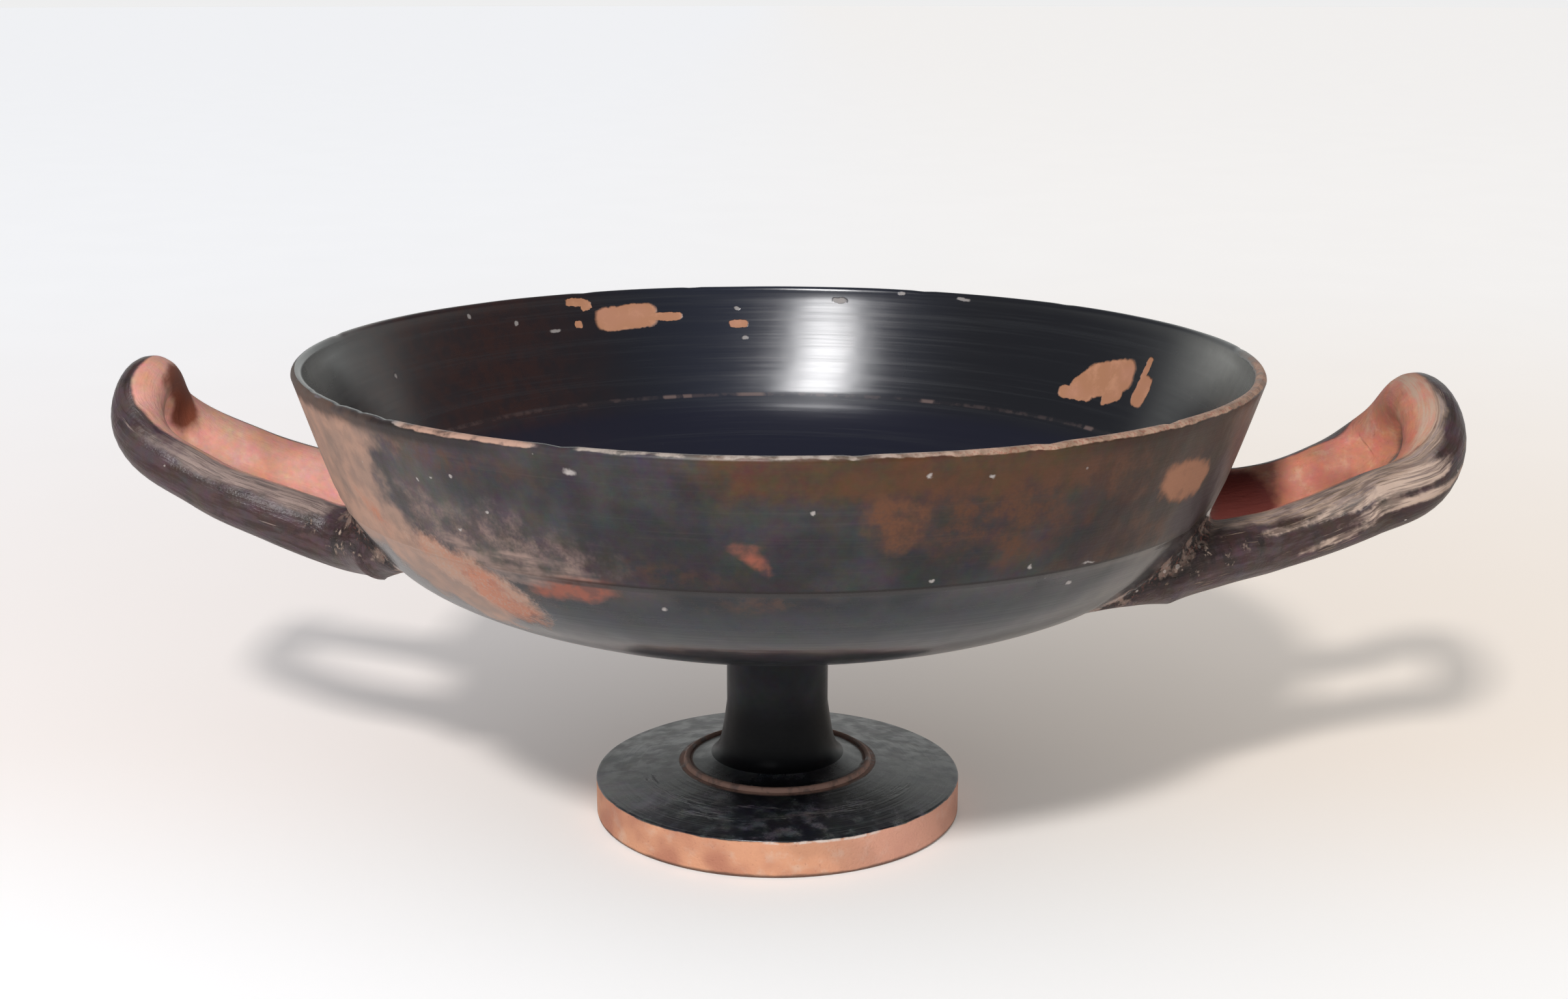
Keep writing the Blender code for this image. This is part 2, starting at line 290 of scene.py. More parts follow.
BOWL_CHIPS = (
    (49.6, 69.6, 0.45, 0.35, 0), (56.3, 67.2, 0.5, 0.4, 0), (-20.0, 66.0, 0.35, 0.3, 0),
)
# Scuffs on the foot, seen from above: (right, back, half length, half width, turn).
FOOT_SCUFFS = (
    (6.0, -26.6, 8.0, 0.7, 14), (14.0, -23.0, 5.0, 0.8, 34), (-18.0, -20.0, 7.0, 1.0, -46),
    (-25.0, -10.0, 5.0, 1.6, -70), (-12.0, -27.0, 6.0, 0.6, -22), (24.0, -14.0, 4.0, 0.8, 60),
    (-4.0, -24.5, 4.0, 0.5, -8), (-14.0, -23.5, 4.0, 0.5, -30),
)

# Looks of the handles: the angles round the roll where the gloss starts and ends, how many
# degrees its border wanders, where its streaks begin in the noise, the share of flecks, and
# the tint of each part.
HANDLE_FOOT = -72.0
HANDLE_RAGGEDNESS = 10.0
LEFT_LOOK = {
    "crest": 87.0, "streak": 0.66, "flecks": 0.06,
    "tints": {"outer": "purple_brown", "outer streak": "dark_brown", "inner": "pink_clay",
              "inner pale": "pale_clay", "inner deep": "clay", "crest wear": "worn_grey",
              "side wear": "chalk", "deep clay": "painted_shade_clay", "streak": "worn_grey"},
}
RIGHT_LOOK = {
    "crest": 84.0, "streak": 0.60, "flecks": 0.3,
    "tints": {"outer": "dark_brown", "outer streak": "purple_brown", "inner": "warm_clay",
              "inner pale": "cream_clay", "inner deep": "red_clay", "crest wear": "cream",
              "side wear": "pink_cream", "deep clay": "shade_red", "streak": "cream"},
}

# Studio.
FLOOR_RADIUS = 14.0
FLOOR_SIDES = 96
# The paper's glow: its colours at the left, the right and near the cup, how strong it is near and
# far, how fast it changes, and how much less in front. Near the cup it is painted fill light in the
# shadows.
FLOOR_LEFT = (0.985, 0.985, 1.0)
FLOOR_RIGHT = (1.0, 0.965, 0.93)
FLOOR_NEAR_LEFT = (1.0, 0.955, 0.95)
FLOOR_NEAR_RIGHT = (1.0, 0.90, 0.80)
FLOOR_GLOW = (0.13, 0.70)
FLOOR_GLOW_REACH = 0.34
FLOOR_FRONT = 0.72
# Painted warm light in the floor's shadows behind the cup, left and right.
FLOOR_SHADOW_WARM_LEFT = (1.0, 0.90, 0.84)
FLOOR_SHADOW_WARM_RIGHT = (1.0, 0.87, 0.75)
ROOM_LOW = (0.80, 0.82, 0.80)
ROOM_HIGH = (0.16, 0.17, 0.19)
ROOM_SEEN = (0.86, 0.86, 0.86)
BACKDROP_RISE = 0.32
LAMP_AIM = (0.0, 0.0, 0.06)
SHEEN_PLACE = (-0.25, -0.90, 1.165)
SHEEN_TINT = (1.0, 0.99, 0.99)
KEY_PLACE = (-0.127, -0.60, 0.568)
KEY_SIZE = 0.08
CAMERA_PLACE = (AXIS_X + 0.00135, -0.40535, 0.16446)
CAMERA_DROP = 0.2415
CAMERA_LENS = 48.35482
SENSOR_WIDTH = 36.0
CLIP_START = 0.01


def bezier(start, pull_start, pull_end, end, steps):
    """Points along a cubic curve, both ends included."""
    corners = (start, pull_start, pull_end, end)
    points = []
    for step in range(steps + 1):
        t = step / steps
        weights = ((1 - t) ** 3, 3 * (1 - t) ** 2 * t, 3 * (1 - t) * t ** 2, t ** 3)
        points.append(tuple(sum(weight * corner[axis] for weight, corner in zip(weights, corners))
                            for axis in (0, 1)))
    return points


def arc(centre, radius, start_degrees, end_degrees, steps):
    """Points along a circular arc in the profile plane, both ends included."""
    angles = [math.radians(start_degrees + (end_degrees - start_degrees) * step / steps)
              for step in range(steps + 1)]
    return [(centre[0] + radius * math.cos(angle), centre[1] + radius * math.sin(angle))
            for angle in angles]


def line(start, end, steps):
    """Points along a straight stretch, both ends included."""
    return [tuple(start[axis] + (end[axis] - start[axis]) * (step / steps) for axis in (0, 1))
            for step in range(steps + 1)]


def inside_profile():
    """The inside of the bowl, from the middle of its floor over the ledge to the rim."""
    floor_end = (LEDGE_RADIUS - LEDGE_WIDTH, LEDGE_HEIGHT - LEDGE_WIDTH)
    floor = bezier((0.0, FLOOR_HEIGHT), FLOOR_PULL_LOWER, FLOOR_PULL_UPPER, floor_end, 26)
    mouth = (RIM_RADIUS - RIM_THICKNESS, RIM_HEIGHT - RIM_THICKNESS / 2)
    wall = bezier((LEDGE_RADIUS, LEDGE_HEIGHT), LIP_PULL_LOWER, LIP_PULL_UPPER, mouth, 16)
    return floor + wall[:-1]


def rim_profile():
    """The rounded rim, from its inner side over the top to its outer side."""
    half = RIM_THICKNESS / 2
    return arc((RIM_RADIUS - half, RIM_HEIGHT - half), half, 180, 0, 10)


def outside_profile():
    """The outer side of the lip, the step, the underside of the bowl and the stem."""
    start = (RIM_RADIUS, RIM_HEIGHT - RIM_THICKNESS / 2)
    lip = bezier(start, LIP_PULL, LIP_PULL, (JOINT_RADIUS, JOINT_HEIGHT), 18)[1:]
    step_inner = (JOINT_RADIUS - JOINT_STEP, JOINT_HEIGHT - JOINT_STEP)
    base = (BOWL_BASE_RADIUS, BOWL_BASE_HEIGHT)
    under = bezier(step_inner, BOWL_PULL_UPPER, BOWL_PULL_LOWER, base, 30)
    neck = (STEM_RADIUS, BOWL_BASE_HEIGHT - JOINT_STEP)
    flare_start = (STEM_RADIUS, STEM_FLARE_HEIGHT)
    stem = bezier(base, neck, neck, (STEM_RADIUS, STEM_TOP_HEIGHT), 5)[1:]
    stem += line((STEM_RADIUS, STEM_TOP_HEIGHT), flare_start, 3)[1:]
    pull = (STEM_RADIUS + FLARE_PULL, FOOT_CROWN_HEIGHT + FLARE_PULL)
    flare = bezier(flare_start, pull, pull, (RING_RADIUS - RING_WIDTH, FOOT_CROWN_HEIGHT), 12)
    return lip + under + stem + flare[1:]


def foot_profile():
    """The ring, the sloping top of the foot, its upright edge and the resting face."""
    ring = arc((RING_RADIUS - RING_WIDTH / 2, FOOT_CROWN_HEIGHT), RING_HEIGHT, 150, 20, 6)
    after_ring = (RING_RADIUS + RING_FALL, FOOT_CROWN_HEIGHT - RING_FALL)
    half = FOOT_BEVEL / 2
    top_end = (FOOT_RADIUS - FOOT_BEVEL, FOOT_EDGE_HEIGHT + half)
    top = line(after_ring, top_end, 6)
    corner = bezier(top_end, (FOOT_RADIUS, FOOT_EDGE_HEIGHT + half), (FOOT_RADIUS, FOOT_EDGE_HEIGHT),
                    (FOOT_RADIUS, FOOT_EDGE_HEIGHT - half), 4)
    edge = line(corner[-1], (FOOT_RADIUS, FOOT_BEVEL), 5)
    lower = arc((FOOT_RADIUS - FOOT_BEVEL, FOOT_BEVEL), FOOT_BEVEL, 0, -90, 3)
    face = line(lower[-1], (HOLLOW_MOUTH_RADIUS, 0.0), 5)
    return ring + top + corner[1:] + edge[1:] + lower[1:] + face[1:]


def hollow_profile():
    """The hollow under the foot, from its mouth to its top in the stem."""
    cone = bezier(HOLLOW_SHOULDER, HOLLOW_NECK, (HOLLOW_TOP_PULL, HOLLOW_TOP_HEIGHT),
                  (0.0, HOLLOW_TOP_HEIGHT), 8)
    return line((HOLLOW_MOUTH_RADIUS, 0.0), HOLLOW_SHOULDER, 3)[1:-1] + cone


def whole_profile():
    """The closed profile of the turned cup, from the axis inside the bowl to the axis below."""
    return inside_profile() + rim_profile() + outside_profile() + foot_profile() + hollow_profile()


def clearance_profile():
    """The space in the bowl and a little of the wall round it, up to well above the rim."""
    inner = [(radius + CUT_BACK, height - CUT_BACK) for radius, height in inside_profile()[1:]]
    above = RIM_HEIGHT + CLEARANCE_RISE
    return [(0.0, FLOOR_HEIGHT - CUT_BACK), *inner, (inner[-1][0], above), (0.0, above)]


def select_only(*objects):
    """Drop every selection, then select these objects and make the first the active one."""
    if bpy.context.object and bpy.context.object.mode != "OBJECT":
        bpy.ops.object.mode_set(mode="OBJECT")
    bpy.ops.object.select_all(action="DESELECT")
    for obj in objects:
        obj.select_set(True)
    if objects:
        bpy.context.view_layer.objects.active = objects[0]


def close_shell():
    """In edit mode, merge doubled vertices and turn every face outwards; leave edit mode."""
    bpy.ops.mesh.select_all(action="SELECT")
    bpy.ops.mesh.remove_doubles(threshold=MERGE_DISTANCE)
    bpy.ops.mesh.normals_make_consistent(inside=False)
    bpy.ops.object.mode_set(mode="OBJECT")


def read(elements, what, width=3, kind=np.float32):
    """One property of every element of a mesh as an array, with a row for each."""
    flat = np.empty(len(elements) * width, kind)
    elements.foreach_get(what, flat)
    return flat.reshape(-1, width) if width > 1 else flat


def mesh_points(mesh):
    """The vertices' places as an array of rows."""
    return read(mesh.vertices, "co").astype(float)


def set_points(mesh, points):
    mesh.vertices.foreach_set("co", points.astype(np.float32).ravel())
    mesh.update()


def write_values(mesh, name, values):
    """Keep one number or one vector for each vertex under a name."""
    kind, what = ("FLOAT", "value") if values.ndim == 1 else ("FLOAT_VECTOR", "vector")
    layer = mesh.attributes.new(name, kind, "POINT")
    layer.data.foreach_set(what, values.astype(np.float32).ravel())


def spun(name, profile, steps):
    """Draw a profile of (radius, height) points as a chain of vertices and spin it on the axis."""
    select_only()
    bpy.ops.mesh.primitive_plane_add(size=PLANE_SIZE, enter_editmode=True, location=(0, 0, 0))
    obj = bpy.context.object
    obj.name = obj.data.name = name
    bpy.ops.mesh.merge(type="CENTER")
    place = (0.0, 0.0)
    for number, (radius, height) in enumerate(profile):
        step = (radius - place[0], 0.0, height - place[1])
        if number == 0:
            bpy.ops.transform.translate(value=step)
        else:
            bpy.ops.mesh.extrude_vertices_move(TRANSFORM_OT_translate={"value": step})
        place = (radius, height)
    bpy.ops.mesh.select_all(action="SELECT")
    bpy.ops.mesh.spin(steps=steps, angle=math.tau, center=(0, 0, 0), axis=(0, 0, 1))
    close_shell()
    return obj


def leaned(points, lean):
    """Tip the points above the stem's waist towards +X by an angle."""
    x = points[:, 0]
    z = points[:, 2] - WAIST_HEIGHT
    tipped = points.copy()
    tipped[:, 0] = x * math.cos(lean) + z * math.sin(lean)
    tipped[:, 2] = -x * math.sin(lean) + z * math.cos(lean) + WAIST_HEIGHT
    return np.where((points[:, 2] > WAIST_HEIGHT)[:, None], tipped, points)


def wheel_places(points):
    """Places on the upright turned cup and their arcs from the front, in millimetres."""
    wheel = leaned(points, -LEAN) * PER_METRE
    return wheel, np.arctan2(wheel[:, 0], -wheel[:, 1]) * ARC_RADIUS


def finish_faces(cup, finishes):
    """Give the inside, the lip, the bowl, the foot and the stem their own finishes."""
    for finish in finishes:
        cup.data.materials.append(finish)
    centres, normals = (read(cup.data.polygons, what) for what in ("center", "normal"))
    radius = np.hypot(centres[:, 0], centres[:, 1])
    outward = (centres[:, 0] * normals[:, 0] + centres[:, 1] * normals[:, 1]) / radius
    height, upward = centres[:, 2], normals[:, 2]
    faces_in = outward < FACING_IN
    inside = (height > BOWL_BASE_HEIGHT + MILLIMETRE) & (upward > 0) & faces_in
    foot = (height < FOOT_CROWN_HEIGHT + 2 * MILLIMETRE) & (radius > STEM_RADIUS + 3 * MILLIMETRE)
    hollow = (height < HOLLOW_TOP_HEIGHT + MILLIMETRE) & (upward < FACING_DOWN) & faces_in
    stem = (height < BOWL_BASE_HEIGHT) & (radius < BOWL_BASE_RADIUS + 4 * MILLIMETRE)
    number = np.select((inside, foot | hollow, stem, height > JOINT_HEIGHT),
                       (INSIDE, FOOT, STEM, LIP), BOWL)
    cup.data.polygons.foreach_set("material_index", number.astype(np.int32))


def roll_section():
    """Outline of the clay roll: round outside, a little squarer on the side inside the loop."""
    bpy.ops.curve.primitive_bezier_circle_add(radius=1.0, location=(0, 0, 0))
    section = bpy.context.object
    section.name = "roll section"
    section.data.dimensions = "2D"
    section.data.resolution_u = SECTION_STEPS
    for point in section.data.splines[0].bezier_points:
        if point.co.x > 0.5:
            point.co.x *= INSIDE_FLATNESS
            for handle in (point.handle_left, point.handle_right):
                handle.x *= INSIDE_FLATNESS
                handle.y *= INSIDE_SQUARENESS
    return section


def loop_points(half_loop, side):
    """A whole loop as (x, y, z, radius), swung and twisted; side is -1 left and 1 right."""
    turn, twist = HANDLE_TURNS[side]
    near = [(reach, -width, height, radius) for reach, width, height, radius in half_loop]
    far = [(reach, -across, height, radius) for reach, across, height, radius in near[-2::-1]]
    points = [(side * (reach * math.cos(turn) - across * math.sin(turn)),
               reach * math.sin(turn) + across * math.cos(turn),
               height - across * math.tan(twist), radius)
              for reach, across, height, radius in near + far]
    return points[::-side]


def rolled(name, half_loop, side, section, finish):
    """A roll of clay along a loop, and its middle line from the same end on either side."""
    points = loop_points(half_loop, side)
    bpy.ops.curve.primitive_bezier_curve_add(location=(0, 0, 0))
    obj = bpy.context.object
    obj.name = name
    curve = obj.data
    curve.dimensions = "3D"
    curve.twist_mode = "Z_UP"
    curve.resolution_u = ROLL_STEPS
    curve.use_fill_caps = True
    spline = curve.splines[0]
    spline.bezier_points.add(len(points) - len(spline.bezier_points))
    for bezier_point, (*place, radius) in zip(spline.bezier_points, points):
        bezier_point.co = place
        bezier_point.handle_left_type = bezier_point.handle_right_type = "AUTO"
        bezier_point.radius = radius - SKIN
    bare = obj.evaluated_get(bpy.context.evaluated_depsgraph_get())
    middle = mesh_points(bare.to_mesh())[::-side]
    bare.to_mesh_clear()
    curve.bevel_mode = "OBJECT"
    curve.bevel_object = section
    select_only(obj)
    bpy.ops.object.convert(target="MESH")
    bpy.ops.object.mode_set(mode="EDIT")
    close_shell()
    obj = bpy.context.object
    obj.data.materials.clear()
    obj.data.materials.append(finish)
    return obj, middle


def combine(obj, operation, tool):
    """Join another solid to an object, or cut it away."""
    select_only(obj)
    modifier = obj.modifiers.new(operation.title(), "BOOLEAN")
    modifier.operation = operation
    modifier.object = tool
    modifier.solver = "EXACT"
    modifier.material_mode = "TRANSFER"
    bpy.ops.object.modifier_apply(modifier=modifier.name)


def handle_vertices(mesh):
    """Which vertices touch a handle's faces, and which of those lie on its seam with the wall."""
    corners = read(mesh.loops, "vertex_index", 1, np.int32)
    sizes = read(mesh.polygons, "loop_total", 1, np.int32)
    finish = read(mesh.polygons, "material_index", 1, np.int32)
    on_handle = np.repeat(finish >= TURNED_FINISHES, sizes)
    handle, turned = np.zeros((2, len(mesh.vertices)), bool)
    handle[corners[on_handle]] = True
    turned[corners[~on_handle]] = True
    return handle, handle & turned


def soften_roots(cup):
    """Work the clay of the handles' roots into the wall, where the two meet."""
    _, seam = handle_vertices(cup.data)
    select_only(cup)
    bpy.ops.object.mode_set(mode="EDIT")
    bpy.ops.mesh.select_mode(type="VERT")
    bpy.ops.mesh.select_all(action="DESELECT")
    bpy.ops.object.mode_set(mode="OBJECT")
    cup.data.vertices.foreach_set("select", seam)
    bpy.ops.object.mode_set(mode="EDIT")
    for _ in range(ROOT_RINGS):
        bpy.ops.mesh.select_more()
    bpy.ops.mesh.vertices_smooth(factor=0.5, repeat=ROOT_SMOOTHING)
    bpy.ops.object.mode_set(mode="OBJECT")


def squared_gaps(points, others):
    """The square of the distance from each point to each of the others."""
    return ((points[:, None, :] - others[None, :, :]) ** 2).sum(axis=2)


def unit(vectors):
    return vectors / np.linalg.norm(vectors, axis=1)[:, None]


def roll_places(points, middle):
    """Place on a roll in millimetres: along it, towards the loop's inside, and upwards."""
    steps = np.linalg.norm(np.diff(middle, axis=0), axis=1)
    lengths = np.concatenate(([0.0], np.cumsum(steps)))
    number = squared_gaps(points, middle).argmin(axis=1)
    tangent = unit(np.gradient(middle, axis=0))[number]
    offset = points - middle[number]
    side = unit(np.cross(tangent, (0.0, 0.0, 1.0)))
    to_centre = middle.mean(axis=0) - middle[number]
    side *= np.sign((side * to_centre).sum(axis=1))[:, None]
    up = np.cross(side, tangent)
    up *= np.sign(up[:, 2])[:, None]
    along = lengths[number] + (offset * tangent).sum(axis=1)
    places = (along, (offset * side).sum(axis=1), (offset * up).sum(axis=1))
    return np.stack(places, axis=1) * PER_METRE


def write_places(cup, middles):
    """Keep each vertex's place on the wheel and on its roll, and how far the seams are."""
    points = mesh_points(cup.data)
    handle, on_seam = handle_vertices(cup.data)
    roll = np.zeros_like(points)
    for side, middle in middles.items():
        mine = handle & (np.sign(points[:, 0]) == side)
        roll[mine] = roll_places(points[mine], middle)
    distance = np.full(len(points), FAR_FROM_SEAM)
    rows = np.flatnonzero(np.hypot(points[:, 0], points[:, 1]) > SEAM_LEAST_RADIUS)
    for part in np.array_split(rows, len(rows) // SEAM_BATCH + 1):
        distance[part] = np.sqrt(squared_gaps(points[part], points[on_seam]).min(axis=1)) * PER_METRE
    for name, values in (("wheel", wheel_places(points)[0]), ("roll", roll), ("seam", distance)):
        write_values(cup.data, name, values)


def patch_field(along, up, shapes):
    """How far each place is inside a union of rounded patches, in millimetres; negative outside."""
    inside = np.full(len(along), -FIELD_REACH)
    for centre_along, centre_up, half_along, half_up, turn in shapes:
        x, y = along - centre_along, up - centre_up
        cosine, sine = math.cos(math.radians(turn)), math.sin(math.radians(turn))
        across = np.abs(x * cosine + y * sine) / half_along
        upward = np.abs(y * cosine - x * sine) / half_up
        distance = (across ** ROUNDNESS + upward ** ROUNDNESS) ** (1 / ROUNDNESS)
        inside = np.maximum(inside, (1 - distance) * min(half_along, half_up))
    return inside


def paint_wear(cup):
    """Paint the fields of wear on the outer wall and on the handles, for the finishes to read."""
    points = mesh_points(cup.data)
    wheel, front = wheel_places(points)
    for name, shapes in WEAR_FIELDS.items():
        write_values(cup.data, name, patch_field(front, wheel[:, 2], shapes))
    along, inward, upward = read(cup.data.attributes["roll"].data, "vector").T
    angle = np.degrees(np.arctan2(upward, inward))
    round_roll = np.where(angle < -90.0, angle + 360.0, angle) / ROUND_STEP
    for name, sides in HANDLE_FIELDS.items():
        left, right = (patch_field(along, round_roll, sides[side]) for side in (-1, 1))
        write_values(cup.data, name, np.where(points[:, 0] < 0, left, right))


def nick_rim(cup, nicks):
    """Press small chips into the rim: (place along the front arc, half width, depth), in mm."""
    points = mesh_points(cup.data)
    wheel, front = wheel_places(points)
    top = np.clip((wheel[:, 2] - RIM_HEIGHT * PER_METRE + NICK_REACH) / NICK_REACH, 0, 1)
    for place, half_width, depth in nicks:
        across = np.clip(1 - np.abs(front - place) / half_width, 0, 1)
        points[:, 2] -= top * across * depth * MILLIMETRE
    set_points(cup.data, points)


def make_uneven(cup, depth):
    """Give the thrown surface its slight waves, pressed inwards only; the resting face stays flat."""
    resting = mesh_points(cup.data)[:, 2] < MERGE_DISTANCE
    waves = bpy.data.textures.new("thrown waves", "CLOUDS")
    waves.noise_scale = WAVE_SIZE
    waves.noise_depth = 1
    select_only(cup)
    modifier = cup.modifiers.new("waves", "DISPLACE")
    modifier.texture = waves
    modifier.texture_coords = "LOCAL"
    modifier.strength = depth
    modifier.mid_level = 1.0
    bpy.ops.object.modifier_apply(modifier=modifier.name)
    bpy.data.textures.remove(waves)
    points = mesh_points(cup.data)
    points[resting, 2] = 0.0
    set_points(cup.data, points)


class Wiring:
    """One node tree, with short ways to add nodes to it and join them."""

    def __init__(self, tree):
        self.tree = tree

    def add(self, kind, inputs=(), **settings):
        """Add a node; its inputs get sockets to join or values, a colour without its alpha."""
        node = self.tree.nodes.new(kind)
        for name, value in settings.items():
            setattr(node, name, value)
        for key, value in dict(inputs).items():
            socket = node.inputs[key]
            if isinstance(value, bpy.types.NodeSocket):
                self.tree.links.new(value, socket)
            else:
                socket.default_value = (*value, 1.0) if socket.type == "RGBA" else value
        return node

    def maths(self, operation, first, second=0.0, third=0.0):
        inputs = {0: first, 1: second, 2: third}
        return self.add("ShaderNodeMath", inputs, operation=operation).outputs[0]

    def chain(self, operation, result, *values):
        for value in values:
            result = self.maths(operation, result, value)
        return result

    def most(self, *values):
        """The largest of several masks."""
        return self.chain("MAXIMUM", *values)

    def both(self, *values):
        """The product of several masks."""
        return self.chain("MULTIPLY", *values)

    def plus(self, base, *shares):
        """A base with shares added to it, each a value and its amount."""
        for value, amount in shares:
            base = self.maths("MULTIPLY_ADD", value, amount, base)
        return base

    def vector(self, operation, first, second=(0.0, 0.0, 0.0)):
        node = self.add("ShaderNodeVectorMath", {0: first, 1: second}, operation=operation)
        return node.outputs["Value" if operation == "LENGTH" else "Vector"]

    def scaled(self, vector, factor):
        node = self.add("ShaderNodeVectorMath", {0: vector, 3: factor}, operation="SCALE")
        return node.outputs["Vector"]

    def spread(self, value, low, high):
        """A 0 to 1 value made to run from low to high."""
        inputs = {"Value": value, "To Min": low, "To Max": high}
        return self.add("ShaderNodeMapRange", inputs).outputs["Result"]

    def soft(self, value, low, high, least=0.0, top=1.0):
        """The least up to low and the top from high, smooth between; low may be the larger."""
        inputs = {"Value": value, "From Min": low, "From Max": high, "To Min": least, "To Max": top}
        node = self.add("ShaderNodeMapRange", inputs, interpolation_type="SMOOTHSTEP")
        return node.outputs["Result"]

    def between(self, value, low, high, edge):
        """1 between low and high, each border soft by an edge to either side."""
        rise = self.soft(value, low - edge, low + edge)
        return self.both(rise, self.soft(value, high + edge, high - edge))

    def blend(self, factor, first, second):
        inputs = {0: factor, 6: first, 7: second}
        return self.add("ShaderNodeMix", inputs, data_type="RGBA").outputs[2]

    def coats(self, tint, *coats):
        """Colours laid over a ground, each (colour, mask, ...), whose masks are multiplied."""
        for coat, *masks in coats:
            tint = self.blend(self.both(*masks), tint, coat)
        return tint

    def level(self, factor, first, second):
        return self.add("ShaderNodeMix", {0: factor, 2: first, 3: second}).outputs[0]

    def noise(self, place, size, detail=2.0, roughness=0.5, output="Fac"):
        """Soft noise whose blots are about the given size across, in millimetres."""
        inputs = {"Vector": place, "Scale": 1.0 / size, "Detail": detail, "Roughness": roughness}
        return self.add("ShaderNodeTexNoise", inputs).outputs[output]

    def stretched(self, place, stretch):
        """Noise in streaks: the place is stretched by an amount along each axis."""
        return self.noise(self.vector("MULTIPLY", place, stretch), 1.0, 3.0, 0.6)

    def group(self, tree, inputs=()):
        return self.add("ShaderNodeGroup", inputs, node_tree=tree).outputs

    def join(self, x=0.0, y=0.0, z=0.0):
        return self.add("ShaderNodeCombineXYZ", {0: x, 1: y, 2: z}).outputs[0]

    def parts(self, vector):
        return self.add("ShaderNodeSeparateXYZ", {0: vector}).outputs

    def kept(self, name, output="Fac"):
        """What the mesh keeps under a name; a field of wear is above 0 inside its patches."""
        return self.add("ShaderNodeAttribute", attribute_name=name).outputs[output]

    def worn(self, name, shift, amount, low, high):
        """The mask of a field of wear, its edge shaken by an amount in millimetres."""
        return self.soft(self.plus(self.kept(name), (shift, amount)), low, high)

    def ahead(self, front, low=165.0, high=135.0):
        """1 on the front of the cup and 0 behind, by the arc from the front."""
        return self.soft(self.maths("ABSOLUTE", front), low, high)

    def give(self, *values):
        """Join a group's results to its outputs, in their order."""
        out = self.add("NodeGroupOutput")
        for value, socket in zip(values, out.inputs):
            self.tree.links.new(value, socket)
        return self.tree


def new_group(name, inputs, outputs):
    """The wiring of an empty shader node group, then each of its inputs, in their order."""
    tree = bpy.data.node_groups.new(name, "ShaderNodeTree")
    for way, labels in (("INPUT", inputs), ("OUTPUT", outputs)):
        for label in filter(None, labels.split(", ")):
            kind = "Vector" if label in PLACES else "Color" if label in COLOURS else "Float"
            tree.interface.new_socket(label, in_out=way, socket_type="NodeSocket" + kind)
    wire = Wiring(tree)
    return wire, *(socket for socket in wire.add("NodeGroupInput").outputs if socket.name)


def wheel_group():
    """Place on the turned cup: arcs from the front and the back, height and radius, in mm."""
    wire, *_ = new_group("Place on the wheel", "",
                         "Front, Back, Height, Radius, Front wall, Back wall, Plan")
    x, y, z = wire.parts(wire.kept("wheel", "Vector"))
    front = wire.both(wire.maths("ARCTAN2", x, wire.both(y, -1.0)), ARC_RADIUS)
    back = wire.both(wire.maths("ARCTAN2", x, y), ARC_RADIUS)
    plan = wire.join(x, y)
    return wire.give(front, back, z, wire.vector("LENGTH", plan), wire.join(front, z),
                     wire.join(back, z), plan)


def unevenness_group():
    """Noise on the object in millimetres: clouds, mottling, grain, and shifts for ragged edges."""
    wire, *_ = new_group("Unevenness", "", "Clouds, Mottle, Grain, Shift, Fine shift, Place")
    place = wire.scaled(wire.add("ShaderNodeTexCoord").outputs["Object"], PER_METRE)
    colours = (wire.noise(place, 5.0, 3.0, 0.6, "Color"), wire.noise(place, 1.4, 2.0, 0.6, "Color"))
    shifts = [wire.scaled(wire.vector("SUBTRACT", colour, (0.5, 0.5, 0.5)), 2.0)
              for colour in colours]
    return wire.give(wire.noise(place, 13.0), wire.noise(place, 3.6, 4.0, 0.62),
                     wire.noise(place, 0.55), *shifts, place)


def patch_group():
    """A worn patch on a wall: 1 inside a rounded box of a half size, turned about its centre."""
    wire, place, centre, half_size, turn, power, edge = new_group(
        "Worn patch", "Place, Centre, Half size, Turn, Squareness, Edge", "Mask")
    inputs = {"Vector": place, "Location": centre, "Rotation": wire.join(0.0, 0.0, turn),
              "Scale": half_size}
    local = wire.add("ShaderNodeMapping", inputs, vector_type="TEXTURE").outputs[0]
    x, y, _ = wire.parts(wire.vector("ABSOLUTE", local))
    total = wire.maths("ADD", wire.maths("POWER", x, power), wire.maths("POWER", y, power))
    distance = wire.maths("POWER", total, wire.maths("DIVIDE", 1.0, power))
    outer, inner = wire.maths("ADD", 1.0, edge), wire.maths("SUBTRACT", 1.0, edge)
    return wire.give(wire.soft(distance, outer, inner))


def specks_group():
    """Small dots strewn over a surface; the amount is the share of cells that hold one."""
    wire, place, spacing, size, amount = new_group("Specks", "Place, Spacing, Size, Amount", "Mask")
    inputs = {"Vector": place, "Scale": wire.maths("DIVIDE", 1.0, spacing)}
    cells = wire.add("ShaderNodeTexVoronoi", inputs).outputs
    chance, kind, _ = wire.parts(cells["Color"])
    reach = wire.both(wire.spread(kind, 0.4, 1.3), wire.maths("DIVIDE", size, spacing))
    dot = wire.soft(wire.maths("DIVIDE", cells["Distance"], reach), 1.15, 0.85)
    return wire.give(wire.both(dot, wire.maths("LESS_THAN", chance, amount)))


def wheel_marks_group():
    """Fine level lines left by the wheel and the brush, as a value about a half."""
    wire, height, radius, plan = new_group("Wheel marks", "Height, Radius, Plan", "Marks")
    level = wire.join(0.0, 0.0, wire.maths("ADD", height, radius))
    coarse, fine = (wire.vector("ADD", wire.scaled(plan, amount), level)
                    for amount in (0.012, 0.03))
    return wire.give(wire.level(0.35, wire.noise(coarse, 1.6, 3.0, 0.6), wire.noise(fine, 0.5)))


